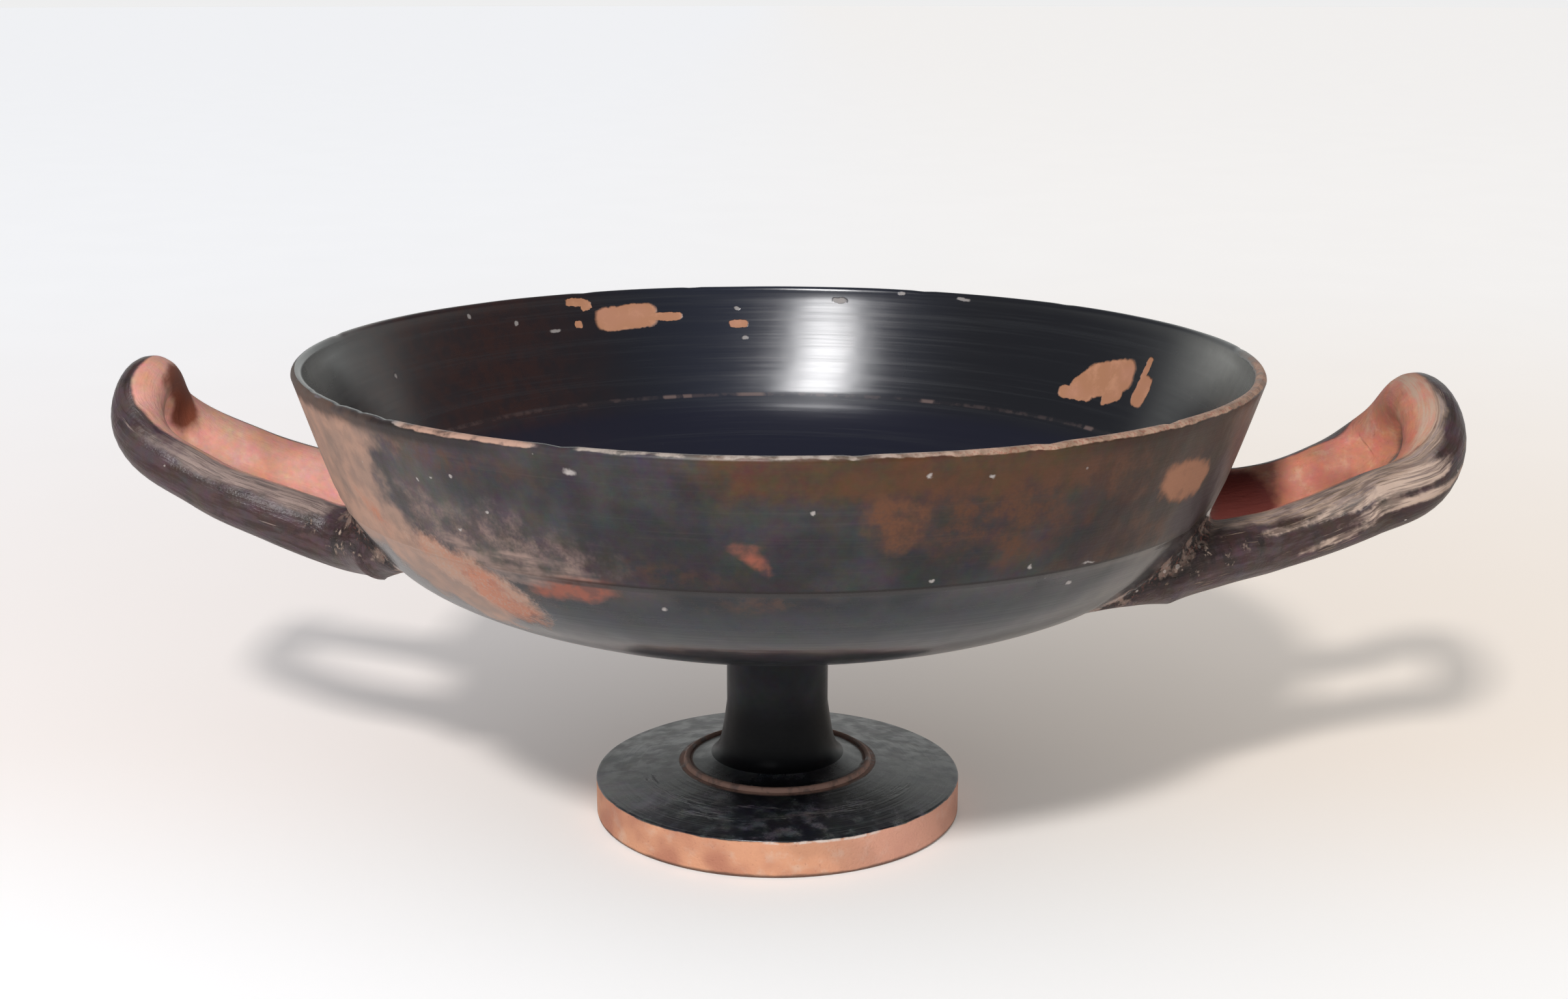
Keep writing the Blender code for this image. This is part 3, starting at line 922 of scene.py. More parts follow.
def clay_group():
    """Bare fired clay: its own colour clouded with a paler and a deeper one, with fine pores."""
    wire, clouds, mottle, grain, clay, pale, deep = new_group(
        "Bare clay", "Clouds, Mottle, Grain, Clay, Pale, Deep", "Colour, Height")
    tint = wire.coats(clay, (pale, wire.soft(mottle, 0.5, 0.72), 0.7),
                      (deep, wire.soft(clouds, 0.52, 0.34), 0.6),
                      (deep, wire.soft(grain, 0.36, 0.25), 0.35))
    return wire.give(tint, wire.level(0.6, mottle, grain))


def rim_group(tints):
    """Wear along the rim: how much shows and in what colour, by place along the front arc."""
    wire, place, height, radius, mottle, grain, shifts = new_group(
        "Rim wear", "Front, Height, Radius, Mottle, Grain, Shift", "Mask, Colour")
    shift, other, third = wire.parts(shifts)
    front = wire.plus(place, (shift, 2.0))
    broad = wire.soft(front, 4.0, 40.0)
    tan = wire.between(front, -66.0, -38.0, 3.0)
    left = wire.soft(front, -66.0, -70.0)
    # The line runs from the crest outwards; its lower border sinks where the wear is broad.
    border = wire.plus(93.72, (broad, -0.40), (tan, -0.28), (left, 0.42))
    above = wire.maths("SUBTRACT", wire.plus(height, (other, 0.7)), border)
    crest = wire.plus(radius, (third, 0.4), (broad, 0.5), (left, -0.9))
    line = wire.both(wire.soft(above, -0.10, 0.16), wire.soft(crest, 91.0, 91.6))
    # It is weaker in places, and broken by a gap and by small chips at the left.
    strength = wire.soft(mottle, 0.62, 0.42, wire.level(broad, 0.2, 0.55))
    gaps = wire.most(wire.between(front, -37.5, -31.0, 1.0),
                     wire.both(left, wire.soft(mottle, 0.47, 0.53), 0.8))
    kept = wire.both(strength, wire.maths("SUBTRACT", 1.0, gaps))
    # At the left end the line is a thin lilac painted highlight on the rim's edge.
    tint = wire.coats(tints.pale_wear, (tints.tan_wear, broad), (tints.orange_wear, tan),
                      (tints.lilac_rim_highlight, left),
                      (tints.red_clay, broad, wire.soft(grain, 0.5, 0.62), 0.6))
    return wire.give(wire.both(line, wire.ahead(place, 150.0, 130.0), kept), tint)


def weather_group(tints):
    """Thin, dusty, stained and worn places on the outer wall, laid over a ground colour."""
    wire, ground, clouds, mottle, grain, shifts, front, height = new_group(
        "Weathering", "Ground, Clouds, Mottle, Grain, Shift, Front, Height", "Colour, Bare, Dull")
    first, second, third = wire.parts(shifts)
    # Thin gloss that lets the brown of the clay through; behind, only in faint clouds.
    faint = wire.both(wire.worn("browned", first, 5.0, -3.8, 2.0),
                      wire.soft(mottle, 0.38, 0.60, 0.4, 0.95), wire.soft(grain, 0.32, 0.62, 0.75))
    behind = wire.both(wire.soft(clouds, 0.56, 0.70), wire.level(wire.ahead(front), 0.6, 0.0))
    brown = wire.both(wire.worn("thin", second, 3.0, -1.8, 1.2),
                      wire.soft(mottle, 0.38, 0.60, 0.5), wire.soft(grain, 0.30, 0.62, 0.75))
    # Faint red flushes in the gloss, and a dark purple shade by the right root.
    flush = wire.both(wire.worn("flushed", second, 3.0, -2.6, 1.6), wire.soft(mottle, 0.38, 0.62))
    shade = wire.worn("root shade", third, 2.0, -1.6, 1.2)
    # Pink and grey tan where the gloss has gone dull at the left.
    pink = wire.both(wire.worn("faded", second, 3.2, -1.6, 1.6), wire.soft(mottle, 0.36, 0.6, 0.75))
    greyer = wire.most(wire.both(wire.soft(clouds, 0.46, 0.62), 0.6),
                       wire.both(wire.soft(front, -104.0, -118.0), 0.75))
    faded = wire.blend(greyer, tints.pink_tan, tints.grey_tan)
    # Beige dust in soft mottles, and in level streaks above the joint.
    dusty = wire.both(wire.worn("dusty", third, 5.0, -3.4, 2.6),
                      wire.soft(mottle, 0.40, 0.64, 0.15, 0.62), wire.soft(grain, 0.30, 0.65, 0.6))
    streaks = wire.stretched(wire.join(front, height), (0.14, 1.1, 0.0))
    lines = wire.both(wire.worn("dust line", third, 1.6, -1.1, 0.7),
                      wire.soft(streaks, 0.38, 0.56, 0.6))
    dusty = wire.most(dusty, lines)
    # Worn through to the clay, with small islands of gloss left in it.
    bare = wire.plus(wire.kept("bare"), (second, 2.2), (mottle, 4.0), (grain, 1.6))
    bare = wire.soft(bare, 1.6, 4.0)
    clay = wire.coats(tints.worn_clay, (tints.pink_tan, wire.soft(clouds, 0.42, 0.6)),
                      (tints.pale_wear, wire.soft(grain, 0.5, 0.64), 0.4),
                      (tints.red_clay, wire.soft(mottle, 0.44, 0.34), 0.4))
    # Small red stains, and the smooth tan spot by the right root.
    red = wire.both(wire.worn("stained", first, 1.0, -0.9, 0.7), wire.soft(mottle, 0.40, 0.56, 0.55))
    oval = wire.both(wire.worn("rubbed", second, 2.2, -0.9, 0.8), wire.soft(mottle, 0.30, 0.48, 0.75))
    tint = wire.coats(ground, (tints.umber_gloss, wire.most(faint, behind)),
                      (tints.brown_gloss, brown), (tints.umber_gloss, flush, 0.55),
                      (tints.purple_gloss, shade, 0.9), (faded, pink), (tints.dust, dusty),
                      (clay, bare, 0.92), (tints.stain_red, red, 0.85), (tints.rubbed, oval, 0.95))
    dull = wire.most(wire.both(dusty, 0.7), wire.both(pink, 0.6), red)
    return wire.give(tint, wire.most(bare, oval), dull)


def root_group(tints):
    """Smears beside the seam of a handle: dark dirt, tan streaks and a few pale flecks."""
    wire, seam, mottle, grain, shifts, flecks = new_group(
        "Root smears", "Seam, Mottle, Grain, Shift, Flecks", "Mask, Colour")
    mask = wire.soft(wire.plus(seam, (wire.parts(shifts)[0], 2.6)), 3.6, 0.6)
    tint = wire.coats(tints.dirt, (tints.grey_tan, wire.soft(mottle, 0.48, 0.58)),
                      (tints.red_clay, wire.soft(grain, 0.55, 0.66), 0.35), (tints.chalk, flecks))
    return wire.give(wire.both(mask, 0.85), tint)


class Finish:
    """A material in the making: its wiring, and the groups that every finish of the cup uses."""

    def __init__(self, name, groups):
        self.material = bpy.data.materials.new(name)
        self.material.use_nodes = True
        self.wire = Wiring(self.material.node_tree)
        self.groups = groups
        self.given = {}
        for group in ("wheel", "unevenness"):
            self.given.update(self.wire.group(groups[group]).items())

    def known(self, *names):
        """Values of the place on the wheel and of the unevenness, by name."""
        return [self.given[name] for name in names]

    def use(self, group, more=()):
        """Place a shared group, its inputs fed by name from what this finish knows and more."""
        known = {**self.given, **dict(more)}
        sockets = self.groups[group].interface.items_tree
        names = [socket.name for socket in sockets if socket.in_out == "INPUT"]
        return self.wire.group(self.groups[group], {name: known[name] for name in names})

    def ragged(self, place, coarse, fine):
        """A place on a wall with its edges shaken by so many millimetres."""
        for name, amount in (("Shift", coarse), ("Fine shift", fine)):
            place = self.wire.vector("ADD", place, self.wire.scaled(self.given[name], amount))
        return place

    def patches(self, place, shapes, edge, square=ROUNDNESS):
        """The union of patches, each (centre along, centre up, half along, half up, turn)."""
        masks = []
        for along, up, half_along, half_up, turn in shapes:
            inputs = {"Place": place, "Centre": (along, up, 0.0), "Turn": math.radians(turn),
                      "Half size": (half_along, half_up, 1.0), "Edge": edge, "Squareness": square}
            masks.append(self.use("patch", inputs)["Mask"])
        return self.wire.most(*masks)

    def specks(self, spacing, size, amount):
        return self.use("specks", {"Spacing": spacing, "Size": size, "Amount": amount})["Mask"]

    def clay(self, clay, pale, deep):
        return self.use("clay", {"Clay": clay, "Pale": pale, "Deep": deep})

    def varied(self, tint, amount):
        """A colour that wanders a little towards brown, green, blue and purple, as old gloss does."""
        wander = self.ragged((1.0, 1.0, 1.0), amount, 0.6 * amount)
        return self.wire.vector("MULTIPLY", tint, wander)

    def front_wall(self):
        """1 in front and 0 behind, and the arc from the front with its edge shaken."""
        front, shift = self.known("Front", "Shift")
        return self.wire.ahead(front), self.wire.plus(front, (self.wire.parts(shift)[0], 9.0))

    def joint_line(self, low, high, ahead, shaken):
        """The dark line in the joint under the lip: behind, in front and to the right."""
        height, mottle = self.known("Height", "Mottle")
        shown = self.wire.level(ahead, 1.0, self.wire.soft(shaken, -52.0, -34.0))
        return self.wire.both(self.wire.soft(height, low, high),
                              self.wire.spread(mottle, 0.65, 1.0), shown)

    def chips(self, shapes):
        """Pale chips at their places, and a few specks strewn between them."""
        wall, grain = self.known("Front wall", "Grain")
        chips = self.patches(self.ragged(wall, 0.5, 0.7), shapes, 0.5)
        return self.wire.most(self.wire.both(chips, self.wire.spread(grain, 0.55, 1.0)),
                              self.wire.both(self.specks(5.5, 0.2, 0.22), 0.35))

    def root_smears(self):
        """The colour of the smears beside a handle's seam, and their mask."""
        flecks = self.wire.both(self.specks(2.8, 0.4, 0.2), 0.6)
        smears = self.use("root", {"Seam": self.wire.kept("seam"), "Flecks": flecks})
        return smears["Colour"], smears["Mask"]

    def rim_wear(self):
        """The colour of the wear along the rim, and its mask."""
        wear = self.use("rim")
        return wear["Colour"], wear["Mask"]

    def done(self, tint, roughness, bumps, gloss=0.5):
        """Wire the colour, the roughness and the bumps, each (value, height in millimetres)."""
        inputs = {"Height": self.wire.plus(0.0, *bumps), "Distance": MILLIMETRE, "Strength": 1.0}
        normal = self.wire.add("ShaderNodeBump", inputs).outputs[0]
        shader = self.material.node_tree.nodes["Principled BSDF"].inputs
        for name, socket in (("Base Color", tint), ("Roughness", roughness), ("Normal", normal)):
            self.material.node_tree.links.new(socket, shader[name])
        shader["IOR"].default_value = GLOSS_IOR
        shader["Specular IOR Level"].default_value = gloss
        return self.material


def inside_finish(groups, tints):
    """Deep black gloss with flakes lost down to the clay and a ledge worn along its edge."""
    finish = Finish("Bowl inside", groups)
    wire = finish.wire
    back, height, radius, wall = finish.known("Back", "Height", "Radius", "Back wall")
    mottle, clouds = finish.known("Mottle", "Clouds")
    marks = finish.use("marks")["Marks"]
    # The gloss is thin and reddish towards the left and bluish over the floor; on the wall behind,
    # round the lamp's highlight, a bluish sheen is painted.
    warm = wire.both(wire.soft(back, -30.0, -78.0), wire.soft(mottle, 0.34, 0.66, 0.45),
                     wire.soft(back, -136.0, -112.0))
    aside = wire.maths("ABSOLUTE", back)
    # A pale grey painted reflection lies near the rim at both ends.
    ends = wire.maths("ABSOLUTE", wire.maths("ADD", back, 8.0))
    bloom = wire.both(wire.soft(ends, 110.0, 146.0), wire.soft(height, 76.0, 92.0),
                      wire.spread(mottle, 0.6, 1.0), wire.soft(ends, 200.0, 165.0),
                      wire.soft(height, 93.7, 92.9))
    # Ledge: a fine line rubbed reddish, worn to the clay here and there, and all along it a faint
    # painted highlight where its edge catches the light.
    ledge = wire.both(wire.between(radius, 79.5, 80.1, 0.18), wire.between(height, 69.8, 71.0, 0.3))
    worn = wire.both(finish.patches(finish.ragged(wall, 1.2, 0.6), LEDGE_WEAR, 0.3), 0.9)
    line = wire.most(wire.soft(mottle, 0.46, 0.62, 0.03, 0.25), worn)
    flakes = finish.patches(finish.ragged(wall, 0.35, 0.4), INSIDE_FLAKES, 0.07, 4.0)
    specks = wire.both(finish.specks(9.0, 0.24, 0.16), wire.soft(height, 60.0, 70.0))
    dots = finish.patches(finish.ragged(wall, 0.5, 0.4), INSIDE_DOTS, 0.25)
    dots = wire.most(wire.both(dots, 0.7), wire.both(specks, 0.4))
    clay = finish.clay(tints.flake, tints.foot_clay, tints.clay)["Colour"]
    rim = finish.rim_wear()
    tint = wire.coats(tints.gloss, (tints.red_gloss, warm, 0.75),
                      (tints.painted_sheen, wire.soft(aside, 52.0, 8.0), 0.55),
                      (tints.blue_gloss, wire.soft(radius, 80.0, 76.0), 0.8),
                      (tints.blue_slate, wire.soft(marks, 0.5, 0.66), 0.22), (tints.bloom, bloom),
                      (tints.ledge_wear_and_glint, ledge, line), (tints.chip, dots), (clay, flakes), rim)
    bare = wire.most(flakes, dots, rim[1])
    roughness = wire.level(bare, wire.soft(marks, 0.35, 0.75, 0.20, 0.28), 0.75)
    return finish.done(tint, roughness, ((marks, 0.006), (clouds, 0.06), (bare, -0.12)))


def lip_finish(groups, tints):
    """The outer side of the lip: dulled gloss, brown to the right and dusty to the left."""
    finish = Finish("Lip", groups)
    wire = finish.wire
    mottle, clouds, height, shifts = finish.known("Mottle", "Clouds", "Height", "Shift")
    marks = finish.use("marks")["Marks"]
    ahead, shaken = finish.front_wall()
    other = wire.parts(shifts)[1]
    left = wire.both(wire.soft(shaken, -12.0, -62.0), ahead)
    # Olive band under the rim, and a dark brown right end.
    risen = wire.plus(height, (other, 3.0))
    olive = wire.both(wire.soft(shaken, -18.0, -4.0), wire.soft(risen, 84.6, 88.8), ahead)
    right = wire.both(wire.soft(shaken, 40.0, 66.0), ahead)
    ground = wire.coats(tints.slate, (tints.dusty_slate, left, 0.8),
                        (tints.gloss, wire.soft(clouds, 0.40, 0.62), 0.5),
                        (tints.dusty_slate, wire.soft(marks, 0.5, 0.7), 0.3),
                        (tints.olive_gloss, olive, 0.75), (tints.end_gloss, right, 0.85))
    weather = finish.use("weather", {"Ground": finish.varied(ground, 0.45)})
    chips = finish.chips(LIP_CHIPS)
    # The step under the lip holds a dark line, and so does the left end below the rim.
    step = finish.joint_line(70.70, 70.25, ahead, shaken)
    shade = wire.both(wire.soft(wire.plus(height, (other, 1.6)), 90.2, 92.4),
                      wire.soft(shaken, -30.0, -60.0), ahead, 0.8)
    rim = finish.rim_wear()
    tint = wire.coats(weather["Colour"], (tints.chip, chips), (tints.dirt, wire.most(step, shade)),
                      finish.root_smears(), rim)
    rough = wire.most(weather["Bare"], weather["Dull"], chips, rim[1])
    roughness = wire.level(rough, wire.spread(mottle, 0.26, 0.42), 0.72)
    bumps = ((marks, 0.06), (clouds, 0.5), (weather["Bare"], -0.10), (mottle, 0.10))
    return finish.done(tint, roughness, bumps, LIP_GLOSS)


def bowl_finish(groups, tints):
    """The bowl below the lip: glossier black, worn at the left."""
    finish = Finish("Bowl", groups)
    wire = finish.wire
    mottle, clouds, height = finish.known("Mottle", "Clouds", "Height")
    marks = finish.use("marks")["Marks"]
    upper = wire.blend(wire.soft(clouds, 0.4, 0.6), tints.slate, tints.gloss)
    lower = wire.blend(wire.spread(clouds, 0.3, 0.7), tints.gloss, tints.blue_slate)
    ground = wire.blend(wire.soft(height, 68.8, 64.0), upper, lower)
    weather = finish.use("weather", {"Ground": finish.varied(ground, 0.35)})
    chips = finish.chips(BOWL_CHIPS)
    step = finish.joint_line(69.0, 69.5, *finish.front_wall())
    tint = wire.coats(weather["Colour"], (tints.chip, chips), (tints.dirt, step),
                      finish.root_smears())
    rough = wire.most(weather["Bare"], weather["Dull"], chips)
    roughness = wire.level(rough, wire.spread(mottle, 0.16, 0.26), 0.72)
    bumps = ((marks, 0.05), (clouds, 0.4), (weather["Bare"], -0.10))
    return finish.done(tint, roughness, bumps, BOWL_GLOSS)


def stem_finish(groups, tints):
    """The stem: the deepest black on the cup, rubbed a little where a hand holds it, with painted
    shade where it flares into the foot.
    """
    finish = Finish("Stem", groups)
    wire = finish.wire
    clouds, mottle, height = finish.known("Clouds", "Mottle", "Height")
    rubbed = wire.blend(wire.soft(clouds, 0.40, 0.66, 0.15, 0.6), tints.gloss, tints.blue_slate)
    # Where the stem flares into the foot, painted shade darkens it to near black.
    tint = wire.coats(finish.varied(rubbed, 0.4), (tints.painted_flare_shade, wire.soft(height, 27.0, 20.0)))
    bumps = ((finish.use("marks")["Marks"], 0.06), (clouds, 0.3))
    return finish.done(tint, wire.spread(mottle, 0.24, 0.42), bumps, STEM_GLOSS)


def foot_finish(groups, tints):
    """Black gloss on top, scuffed; a reserved ring round the stem; bare clay edge and underside."""
    finish = Finish("Foot", groups)
    wire = finish.wire
    mottle, clouds, shifts, plan = finish.known("Mottle", "Clouds", "Shift", "Plan")
    radius, height, front = finish.known("Radius", "Height", "Front")
    marks = finish.use("marks")["Marks"]
    _, other, third = wire.parts(shifts)
    clay = finish.clay(tints.foot_clay, tints.pale_clay, tints.red_clay)
    # Dust on the upper face, with a painted sheen for the grazing reflection at its sides: much at
    # the left and behind, hardly any in front.
    x, y, _ = wire.parts(plan)
    back = wire.plus(y, (wire.maths("ABSOLUTE", x), 0.35), (x, -0.15), (third, 14.0))
    dust = wire.both(wire.soft(back, -18.0, 20.0), wire.soft(mottle, 0.36, 0.62, 0.4), 0.9)
    past_ring = wire.soft(radius, 18.5, 22.0)
    # Fine pale scuffs that follow the wheel, palest towards the front.
    turns = wire.stretched(wire.join(radius, front), (1.4, 0.06, 0.0))
    scuffs = wire.both(finish.patches(finish.ragged(plan, 1.6, 0.8), FOOT_SCUFFS, 0.9),
                       wire.soft(turns, 0.42, 0.66))
    blots = wire.both(wire.soft(mottle, 0.50, 0.66), wire.soft(clouds, 0.40, 0.60), past_ring)
    gloss = wire.coats(tints.gloss, (tints.blue_slate, wire.soft(mottle, 0.42, 0.7)),
                       (tints.foot_dust_and_sheen, dust, past_ring), (tints.foot_scuff, scuffs, 0.45),
                       (tints.foot_dust_and_sheen, blots, 0.4))
    # The gloss ends raggedly at the corner of the edge, with a pale broken border in front.
    edge = wire.plus(height, (other, 0.4))
    below = wire.soft(edge, 7.50, 7.20)
    border = wire.both(wire.between(edge, 6.90, 7.45, 0.15), wire.between(front, -6.0, 50.0, 5.0),
                       wire.soft(mottle, 0.42, 0.55))
    ring = wire.both(wire.between(radius, 17.3, 20.1, 0.3), wire.soft(height, 9.75, 10.05),
                     wire.soft(mottle, 0.36, 0.5, 0.5))
    # The edge is pinker at the right and stained here and there, and along its foot a dark band is
    # painted shadow where it meets the floor.
    pinker = wire.both(below, wire.soft(front, 10.0, 60.0), 0.6)
    stains = wire.both(below, wire.most(wire.both(wire.soft(clouds, 0.56, 0.70), 0.15),
                                        wire.both(wire.soft(edge, 1.0, 0.35), 0.75)))
    # The hollow underneath is darker.
    inner = wire.both(wire.soft(radius, 19.0, 17.5), wire.soft(height, 12.0, 9.0))
    tint = wire.coats(finish.varied(gloss, 0.35), (clay["Colour"], below), (tints.pink_clay, pinker),
                      (tints.dirt, stains), (tints.chalk, border, 0.8), (tints.ring_clay, ring, 0.9),
                      (tints.dirt, inner, 0.45))
    bare = wire.most(below, border, ring, wire.both(scuffs, 0.6), wire.both(dust, 0.4))
    roughness = wire.level(bare, wire.spread(mottle, 0.16, 0.34), 0.78)
    bumps = ((marks, 0.10), (bare, -0.10), (wire.both(clay["Height"], below), 0.25))
    return finish.done(tint, roughness, bumps)


def handle_finish(name, groups, tints, look):
    """A handle: gloss round its outer side, bare clay inside the loop, worn along its crest."""
    finish = Finish(name, groups)
    wire = finish.wire
    mottle, clouds, height, radius = finish.known("Mottle", "Clouds", "Height", "Radius")
    shift, other, third = wire.parts(finish.given["Shift"])
    fine_shift = wire.parts(finish.given["Fine shift"])[0]
    tint_of = {part: getattr(tints, what) for part, what in look["tints"].items()}
    roll = wire.kept("roll", "Vector")
    _, inward, upward = wire.parts(roll)
    # Streaks run along the roll.
    streaks = wire.noise(wire.vector("MULTIPLY", roll, (0.12, 0.7, 0.7)), 1.0, 4.0, 0.6)
    fine = wire.stretched(roll, (0.09, 1.5, 1.5))
    # Gloss covers the outer side between the crest and the foot of the roll, and the root.
    angle = wire.both(wire.maths("ARCTAN2", upward, inward), math.degrees(1.0))
    loose = wire.plus(angle, (shift, HANDLE_RAGGEDNESS))
    root = wire.both(wire.soft(height, 65.5, 63.0), wire.soft(radius, 92.0, 87.0))
    gloss = wire.most(wire.soft(loose, look["crest"] - 6.0, look["crest"] + 6.0),
                      wire.soft(loose, HANDLE_FOOT + 9.0, HANDLE_FOOT - 9.0), root)
    outer = wire.coats(tint_of["outer"], (tint_of["outer streak"], wire.soft(streaks, 0.42, 0.62)),
                       (tints.dirt, wire.soft(mottle, 0.55, 0.68), 0.5))
    # Inside the loop the clay is deep red in places and pale in others, with painted shade where the
    # lip and the tip cast shadow on it.
    clay = finish.clay(*(tint_of[part] for part in ("inner", "inner pale", "inner deep")))
    deep = wire.worn("deep clay", third, 1.4, -0.9, 0.9)
    inner = wire.blend(deep, finish.varied(clay["Colour"], 0.3), tint_of["deep clay"])
    # Broad wear along the crest of the near arm, and paler wear lower down its side.
    crest = wire.both(wire.worn("crest wear", other, 1.2, -0.8, 0.8),
                      wire.soft(streaks, 0.38, 0.54, 0.45), wire.soft(fine, 0.36, 0.50, 0.5))
    wear = wire.coats(tint_of["crest wear"], (tints.worn_grey, wire.soft(fine, 0.48, 0.58), gloss))
    side = wire.plus(wire.kept("side wear"), (third, 0.9), (fine_shift, 0.5))
    side = wire.both(wire.soft(side, -0.45, 0.35), wire.soft(streaks, 0.40, 0.56, 0.3),
                     wire.soft(fine, 0.38, 0.50, 0.3))
    # Pale streaks along the outer side.
    cream = wire.both(wire.soft(fine, look["streak"], look["streak"] + 0.10), gloss)
    # Towards the root the gloss is black with dirt and strewn with pale flecks.
    root_reach = wire.plus(wire.kept("seam"), (shift, 5.0))
    grimy = wire.both(wire.soft(root_reach, 13.0, 6.0), wire.between(upward, -1.0, 4.2, 1.2), gloss)
    broken = wire.both(wire.soft(mottle, 0.52, 0.62), wire.soft(fine_shift, 0.02, 0.22), grimy)
    flecks = wire.both(finish.specks(3.2, 0.34, look["flecks"]), gloss)
    smears = finish.root_smears()
    tint = wire.coats(inner, (finish.varied(outer, 0.35), gloss), (wear, crest, 0.9),
                      (tint_of["side wear"], side, 0.9), (tint_of["streak"], cream, 0.6),
                      (tints.dirt, grimy, wire.soft(mottle, 0.42, 0.56, 0.2, 0.8)),
                      (tints.pink_cream, broken, 0.75), (tints.chalk, flecks, 0.6), smears)
    rough = wire.most(wire.maths("SUBTRACT", 1.0, gloss), crest, side, cream, flecks, broken,
                      wire.both(smears[1], 0.7))
    roughness = wire.level(rough, wire.spread(mottle, 0.28, 0.46), 0.72)
    bumps = ((clouds, 0.8), (streaks, 0.3), (rough, -0.15), (clay["Height"], 0.12))
    return finish.done(tint, roughness, bumps, HANDLE_GLOSS)


def length(name, default, description, **more):
    """A property that holds a length in metres."""
    return FloatProperty(name=name, description=description, default=default, unit="LENGTH",
                         subtype="DISTANCE", precision=4, min=0.0, **more)


def tint(name, default, description):
    """A property that holds a colour, as linear red, green and blue."""
    return FloatVectorProperty(name=name, description=description, default=default, size=3,
                               subtype="COLOR", min=0.0, max=1.0)


class KylixMaking(PropertyGroup):
    """How finely and how evenly the cup is made."""

    steps: IntProperty(name="Spin steps", description="Faces round the turned cup",
                       default=SPIN_STEPS, min=24)
    lean: FloatProperty(name="Lean", description="Lean of the bowl to the right", default=LEAN,
                        subtype="ANGLE", unit="ROTATION")
    waves: length("Waves", WAVE_DEPTH, "How deep the slight waves in the thrown wall are")


